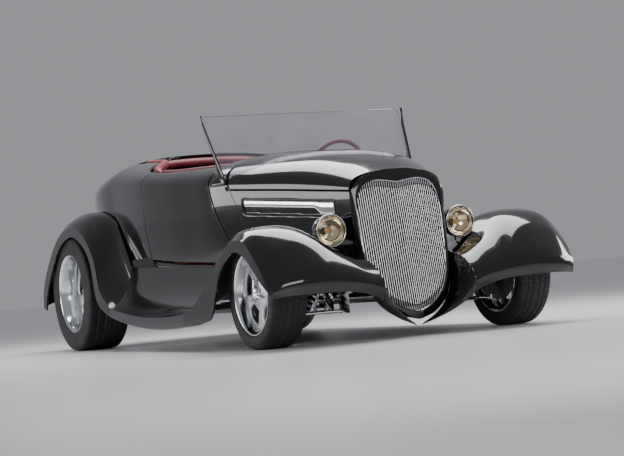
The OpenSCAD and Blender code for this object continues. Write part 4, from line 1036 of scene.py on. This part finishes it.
def bolster(outline, half_width, steps=30):
    """Closed form of an outline of X and Z lofted across the car, drawn in roundly towards both ends."""
    ring = np.asarray(outline, float)
    for _ in range(3):
        after = np.roll(ring, -1, 0)
        ring = np.stack([0.75 * ring + 0.25 * after, 0.25 * ring + 0.75 * after], 1).reshape(-1, 2)
    middle = (ring.min(0) + ring.max(0)) / 2
    u = np.sin(np.linspace(-np.pi / 2, np.pi / 2, steps))
    size = np.maximum(0.55, (1 - np.abs(u) ** 6) ** (1 / 3))
    flat = middle + size[:, None, None] * (ring - middle)
    points = np.stack([flat[..., 0], np.broadcast_to(half_width * u[:, None], flat.shape[:2]),
        flat[..., 1]], -1)
    count = len(ring)
    faces = quads(steps, count, along=True).tolist()
    faces += [list(range(count))[::-1], list(range((steps - 1) * count, steps * count))]
    return outward(points.reshape(-1, 3), faces)


def evaluated(obj):
    """The mesh of an object with its modifiers applied."""
    return bpy.data.meshes.new_from_object(obj.evaluated_get(bpy.context.evaluated_depsgraph_get()))


def places(mesh):
    """Coordinates of a mesh as an array."""
    flat = np.empty(3 * len(mesh.vertices))
    mesh.vertices.foreach_get("co", flat)
    return flat.reshape(-1, 3)


def stuffed(obj, cap, voxel, pitch, upright):
    """Swells a cover over its foam by at most cap, then sews channels into it at a pitch across the car."""
    remesh = obj.modifiers.new("remesh", "REMESH")
    remesh.mode, remesh.voxel_size = "VOXEL", voxel * MM
    mesh = evaluated(obj)
    obj.modifiers.clear()
    obj.data = mesh
    rest = places(mesh)
    cloth = obj.modifiers.new("cloth", "CLOTH")
    cloth.settings.use_pressure, cloth.settings.uniform_pressure_force = True, 4.0
    cloth.settings.effector_weights.gravity = 0
    for step in range(1, 21):
        bpy.context.scene.frame_set(step)
    moved = places(evaluated(obj)) - rest
    length = np.linalg.norm(moved, axis=1, keepdims=True)
    moved *= np.minimum(1, cap * MM / np.maximum(length, 1e-9))
    obj.modifiers.clear()
    bpy.context.scene.frame_set(1)
    mesh.vertices.foreach_set("co", (rest + moved).ravel())
    smooth = obj.modifiers.new("subdivision", "SUBSURF")
    smooth.levels = smooth.render_levels = 1
    obj.data = evaluated(obj)
    obj.modifiers.clear()
    mesh = obj.data
    co = places(mesh)
    normal = np.empty(3 * len(mesh.vertices))
    mesh.vertices.foreach_get("normal", normal)
    normal = normal.reshape(-1, 3)
    lane = np.abs((co[:, 1] / MM / pitch) % 1 - 0.5) * pitch
    facing = np.clip(normal @ np.asarray(upright, float), 0, 1)
    groove = 8.0 * np.exp(-((pitch / 2 - lane) / 7) ** 2) * facing
    mesh.vertices.foreach_set("co", (co - groove[:, None] * MM * normal).ravel())
    mesh.polygons.foreach_set("use_smooth", np.ones(len(mesh.polygons), bool))
    mesh.update()


base_outline = [
    [seat_rear - 12, rail_top + 26], [seat_rear + 454, rail_top + 26], [seat_rear + 472, 600],
    [seat_rear + 452, 626], [seat_rear + 420, 640], [seat_rear + 60, 608], [seat_rear - 12, 596],
]
back_outline = [
    [seat_rear - 20, 626], [seat_rear + 38, 640], [seat_rear - 6, 760], [seat_rear - 36, 880],
    [seat_rear - 66, 986], [seat_rear - 92, 1038], [seat_rear - 116, 1052],
    [seat_rear - 140, 1038], [seat_rear - 150, 1000], [seat_rear - 146, 900], [seat_rear - 118, 750],
]
bench = piece("bench_cushion", bolster(base_outline, 524), hide, "chassis", ["seat_base"])
stuffed(bench, 11, 16, 90, (0, 0, 1))
rest_back = piece("bench_back", bolster(back_outline, 436), hide, "chassis",
    ["seat_back"])
stuffed(rest_back, 11, 13, 90, (0.95, 0, 0.3))

lining = door_grid(150, 45, gap / 2 + 17)[:, 5:]
away = normals(lining)
share, height_share = lattice(150, 40)
pleat = np.abs(np.sin(14 * np.pi * share)) ** 0.35
band = np.clip(np.minimum(height_share - 0.1, 0.82 - height_share) / 0.05, 0, 1)
soft_edge = np.minimum(1, np.minimum(np.minimum(share, 1 - share) / 0.03,
    np.minimum(height_share, 1 - height_share) / 0.06))
depth = 45 + 13.5 * np.sqrt(soft_edge) * mix(0.8, mix(0.45, 1, pleat), band)
trim_out, trim_in = lining - 39.2 * away, lining - depth[..., None] * away
trims = (("right", trim_out, trim_in), ("left", mirrored(trim_out), mirrored(trim_in)))
for word, outer_skin, inner_skin in trims:
    shape = outward(*walled(outer_skin, inner_skin))
    trim = piece(f"{word}_door_trim", shape, hide, "door_" + word, ["door_panel_" + word])

x = np.linspace(rear_cut(1000) + 34, front_cut(980) - 22, 60)
roll_line = skin(x, rim_z(x) - 2)
roll_line = roll_line + np.stack([0 * x, 0 * x + 55, 0 * x - 3], -1)
size = 15 * (1 - np.abs(2 * np.linspace(0, 1, 60) - 1) ** 16) ** 0.5 + 1
for word, side in (("right", 1), ("left", -1)):
    shape = outward(*tube(roll_line * [1, side, 1], size, 20))
    piece(f"{word}_door_roll", shape, hide, "door_" + word)
x = np.linspace(rear_cut(1000) - 16, dome_x + 24, 30)
quarter_line = skin(x, rim_z(x) - 2) + np.stack([0 * x, 0 * x + 58, 0 * x - 6], -1)
start = quarter_line[-1]
lift_angle = np.linspace(-np.pi / 2, np.pi / 2, 60)[1:-1]
arc = top_point(0 * lift_angle + dome_x, np.degrees(lift_angle) * (90 - lid_angle - 6) / 90 + 90)
arc = np.stack([0 * lift_angle + start[0], arc[:, 1] * 0.96, arc[:, 2] - 48], -1)
behind_line = np.concatenate([quarter_line, arc, quarter_line[::-1] * [1, -1, 1]])
for _ in range(6):
    behind_line[1:-1] = (behind_line[:-2] + 2 * behind_line[1:-1] + behind_line[2:]) / 4
size = 23 * (1 - np.abs(2 * np.linspace(0, 1, len(behind_line)) - 1) ** 40) ** 0.5 + 1
piece("cockpit_roll", outward(*tube(behind_line, size, 22)), hide, "chassis")

# ---------------------------------------------------------------- dashboard and steering wheel
# A padded leather panel with four round dials in bright bezels, and a leather rim on three polished spokes.
# The dials have plain ivory faces with a needle and carry no lettering.

dash_x = door_front_x + 8
around, up = lattice(90, 24)
crest = top_point(door_front_x + 30 + 0 * around, mix(24, 156, around))
z = mix(802, crest[..., 2] - 28, up)
y = crest[..., 1] * 0.9
round_off = np.minimum(1, np.minimum(np.minimum(up, 1 - up) / 0.14, np.minimum(around, 1 - around) / 0.03))
dash_face = np.stack([dash_x + 10 - 9 * np.sqrt(1 - (1 - round_off) ** 2), y, z], -1)
dash_rear = np.stack([0 * y + dash_x + 29, y, z], -1)
dash = outward(*walled(dash_face, dash_rear))
piece("dashboard_pad", dash, hide, "chassis", ["dashboard"])
dial_face, tree, shader, where = nodes_of("ivory_dial")
tree.links.new(two_tone(tree, noise(tree, where, 30.0), (0.62, 0.56, 0.42), (0.72, 0.67, 0.55)),
    shader.inputs["Base Color"])
shader.inputs["Roughness"].default_value = 0.4
toward_seat = (-1, 0, 0)
bezels, faces_of_dials, needles = [], [], []
for k, size in enumerate((30, 40, 40, 30)):
    at = (dash_x + 2, -165 + 100 * k, 905)
    ring = np.linspace(0, 2 * np.pi, 16, endpoint=False)
    bezel = np.stack([size + 3 * np.cos(ring), 4 + 3.5 * np.sin(ring)], -1)
    bezels.append(lathe(bezel, at, toward_seat, 64, loop=True))
    faces_of_dials.append(lathe([[size, -3], [size, 3], [size - 2, 3.6], [1, 3.6]], at, toward_seat, 64))
    tip = np.array([dash_x - 2.6, at[1] + 0.7 * size * np.cos(2.2), 905 + 0.7 * size * np.sin(2.2)])
    needles.append(outward(*tube([np.array([dash_x - 2.6, at[1], 905.0]), tip], [1.6, 0.6], 8)))
piece("dial_bezels", joined(bezels), chrome, "chassis")
piece("dial_faces", joined(faces_of_dials), dial_face, "chassis")
piece("dial_needles", joined(needles), dark, "chassis")

wheel_at, wheel_axis = np.array([dash_x - 190, 280, 935]), np.array([-0.943, 0, 0.332])
ring = np.linspace(0, 2 * np.pi, 24, endpoint=False)
grip = np.stack([168 + 13.6 * np.cos(ring), 20 + 13.6 * np.sin(ring)], -1)
leather_rim = lathe(grip, wheel_at, wheel_axis, 120, loop=True)
piece("steering_wheel_rim", leather_rim, hide, "chassis", ["steering_wheel"])
hub = eased([[17, 1], [33, 2], [33, 16], [28, 23], [12, 25.5], [1, 25.5]], 2)
sideways, upright = np.array([0, 1.0, 0]), np.cross(wheel_axis, [0, 1.0, 0])
spokes = [lathe(hub, wheel_at, wheel_axis, 64)]
for k in range(3):
    a = np.pi / 2 + 2 * np.pi * k / 3
    out = np.cos(a) * sideways + np.sin(a) * upright
    r = np.linspace(26, 160, 24)[:, None]
    spokes.append(outward(*tube(wheel_at + r * out + 17.5 * wheel_axis,
        6.5 - 2.5 * np.sin(np.linspace(0, np.pi, 24)), 14)))
piece("steering_spokes", joined(spokes), chrome, "chassis")

# ---------------------------------------------------------------- stage, light and camera
# A wide pale studio floor under an even pale surround, with large soft lights over and beside the car, and
# a long lens near the ground that looks at the grille and the right flank and leans with the car's stance.

studio = bpy.data.materials.new("studio_grey")
studio.use_nodes = True
studio.node_tree.nodes["Principled BSDF"].inputs["Base Color"].default_value = (0.82, 0.82, 0.83, 1)
studio.node_tree.nodes["Principled BSDF"].inputs["Roughness"].default_value = 0.32
look = np.radians(64.6)
t, u = lattice(13, 13)
floor_half = 90
ground = np.stack([floor_half * (2 * t - 1), floor_half * (2 * u - 1), 0 * t], -1)
floor = bpy.data.objects.new("studio_floor", bpy.data.meshes.new("studio_floor"))
floor.data.from_pydata(ground.reshape(-1, 3).tolist(), [], quads(13, 13).tolist())
floor.data.polygons.foreach_set("use_smooth", np.ones(len(floor.data.polygons), bool))
floor.data.materials.append(studio)
bpy.context.scene.collection.objects.link(floor)
floor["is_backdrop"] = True


def softbox(name, place, target, width, height, power, tint=(1, 1, 1)):
    """Rectangular area light at a place, turned to face a target point."""
    lamp = bpy.data.lights.new(name, "AREA")
    lamp.shape, lamp.size, lamp.size_y, lamp.energy, lamp.color = "RECTANGLE", width, height, power, tint
    obj = bpy.data.objects.new(name, lamp)
    obj.location = place
    turn = np.array(target) - np.array(place)
    obj.rotation_euler = Vector(turn).to_track_quat("-Z", "Y").to_euler()
    bpy.context.scene.collection.objects.link(obj)


softbox("overhead", (-0.4, 0.6, 3.6), (0, 0.2, 0), 5.0, 2.2, 260)
softbox("flank", (-1.6, -5.2, 1.5), (-0.2, 0, 0.7), 3.6, 1.4, 90)
softbox("front", (6.5, -1.0, 2.2), (1.4, 0, 0.6), 2.4, 1.6, 70)
softbox("far_side", (1.5, 5.5, 2.4), (0.6, 0, 0.8), 3.0, 1.2, 90)
world = bpy.context.scene.world or bpy.data.worlds.new("studio")
bpy.context.scene.world = world
world.use_nodes = True
world.node_tree.nodes["Background"].inputs["Color"].default_value = (0.75, 0.76, 0.8, 1)
world.node_tree.nodes["Background"].inputs["Strength"].default_value = 0.42

camera = bpy.data.objects.new("camera", bpy.data.cameras.new("camera"))
camera.data.lens, camera.data.sensor_width = 109.6, 36
aim, distance, low_angle, lean = np.array([0.5675, 0, 0.612]), 10.59, np.radians(-1.5), np.radians(4.9)
back = np.array([np.sin(look) * np.cos(low_angle), -np.cos(look) * np.cos(low_angle), np.sin(low_angle)])
camera.matrix_world = (
    Matrix.Translation(aim + distance * back)
    @ Vector(-back).to_track_quat("-Z", "Y").to_matrix().to_4x4()
    @ Matrix.Rotation(-lean, 4, "Z")
)
bpy.context.scene.collection.objects.link(camera)
bpy.context.scene.camera = camera

low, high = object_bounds()
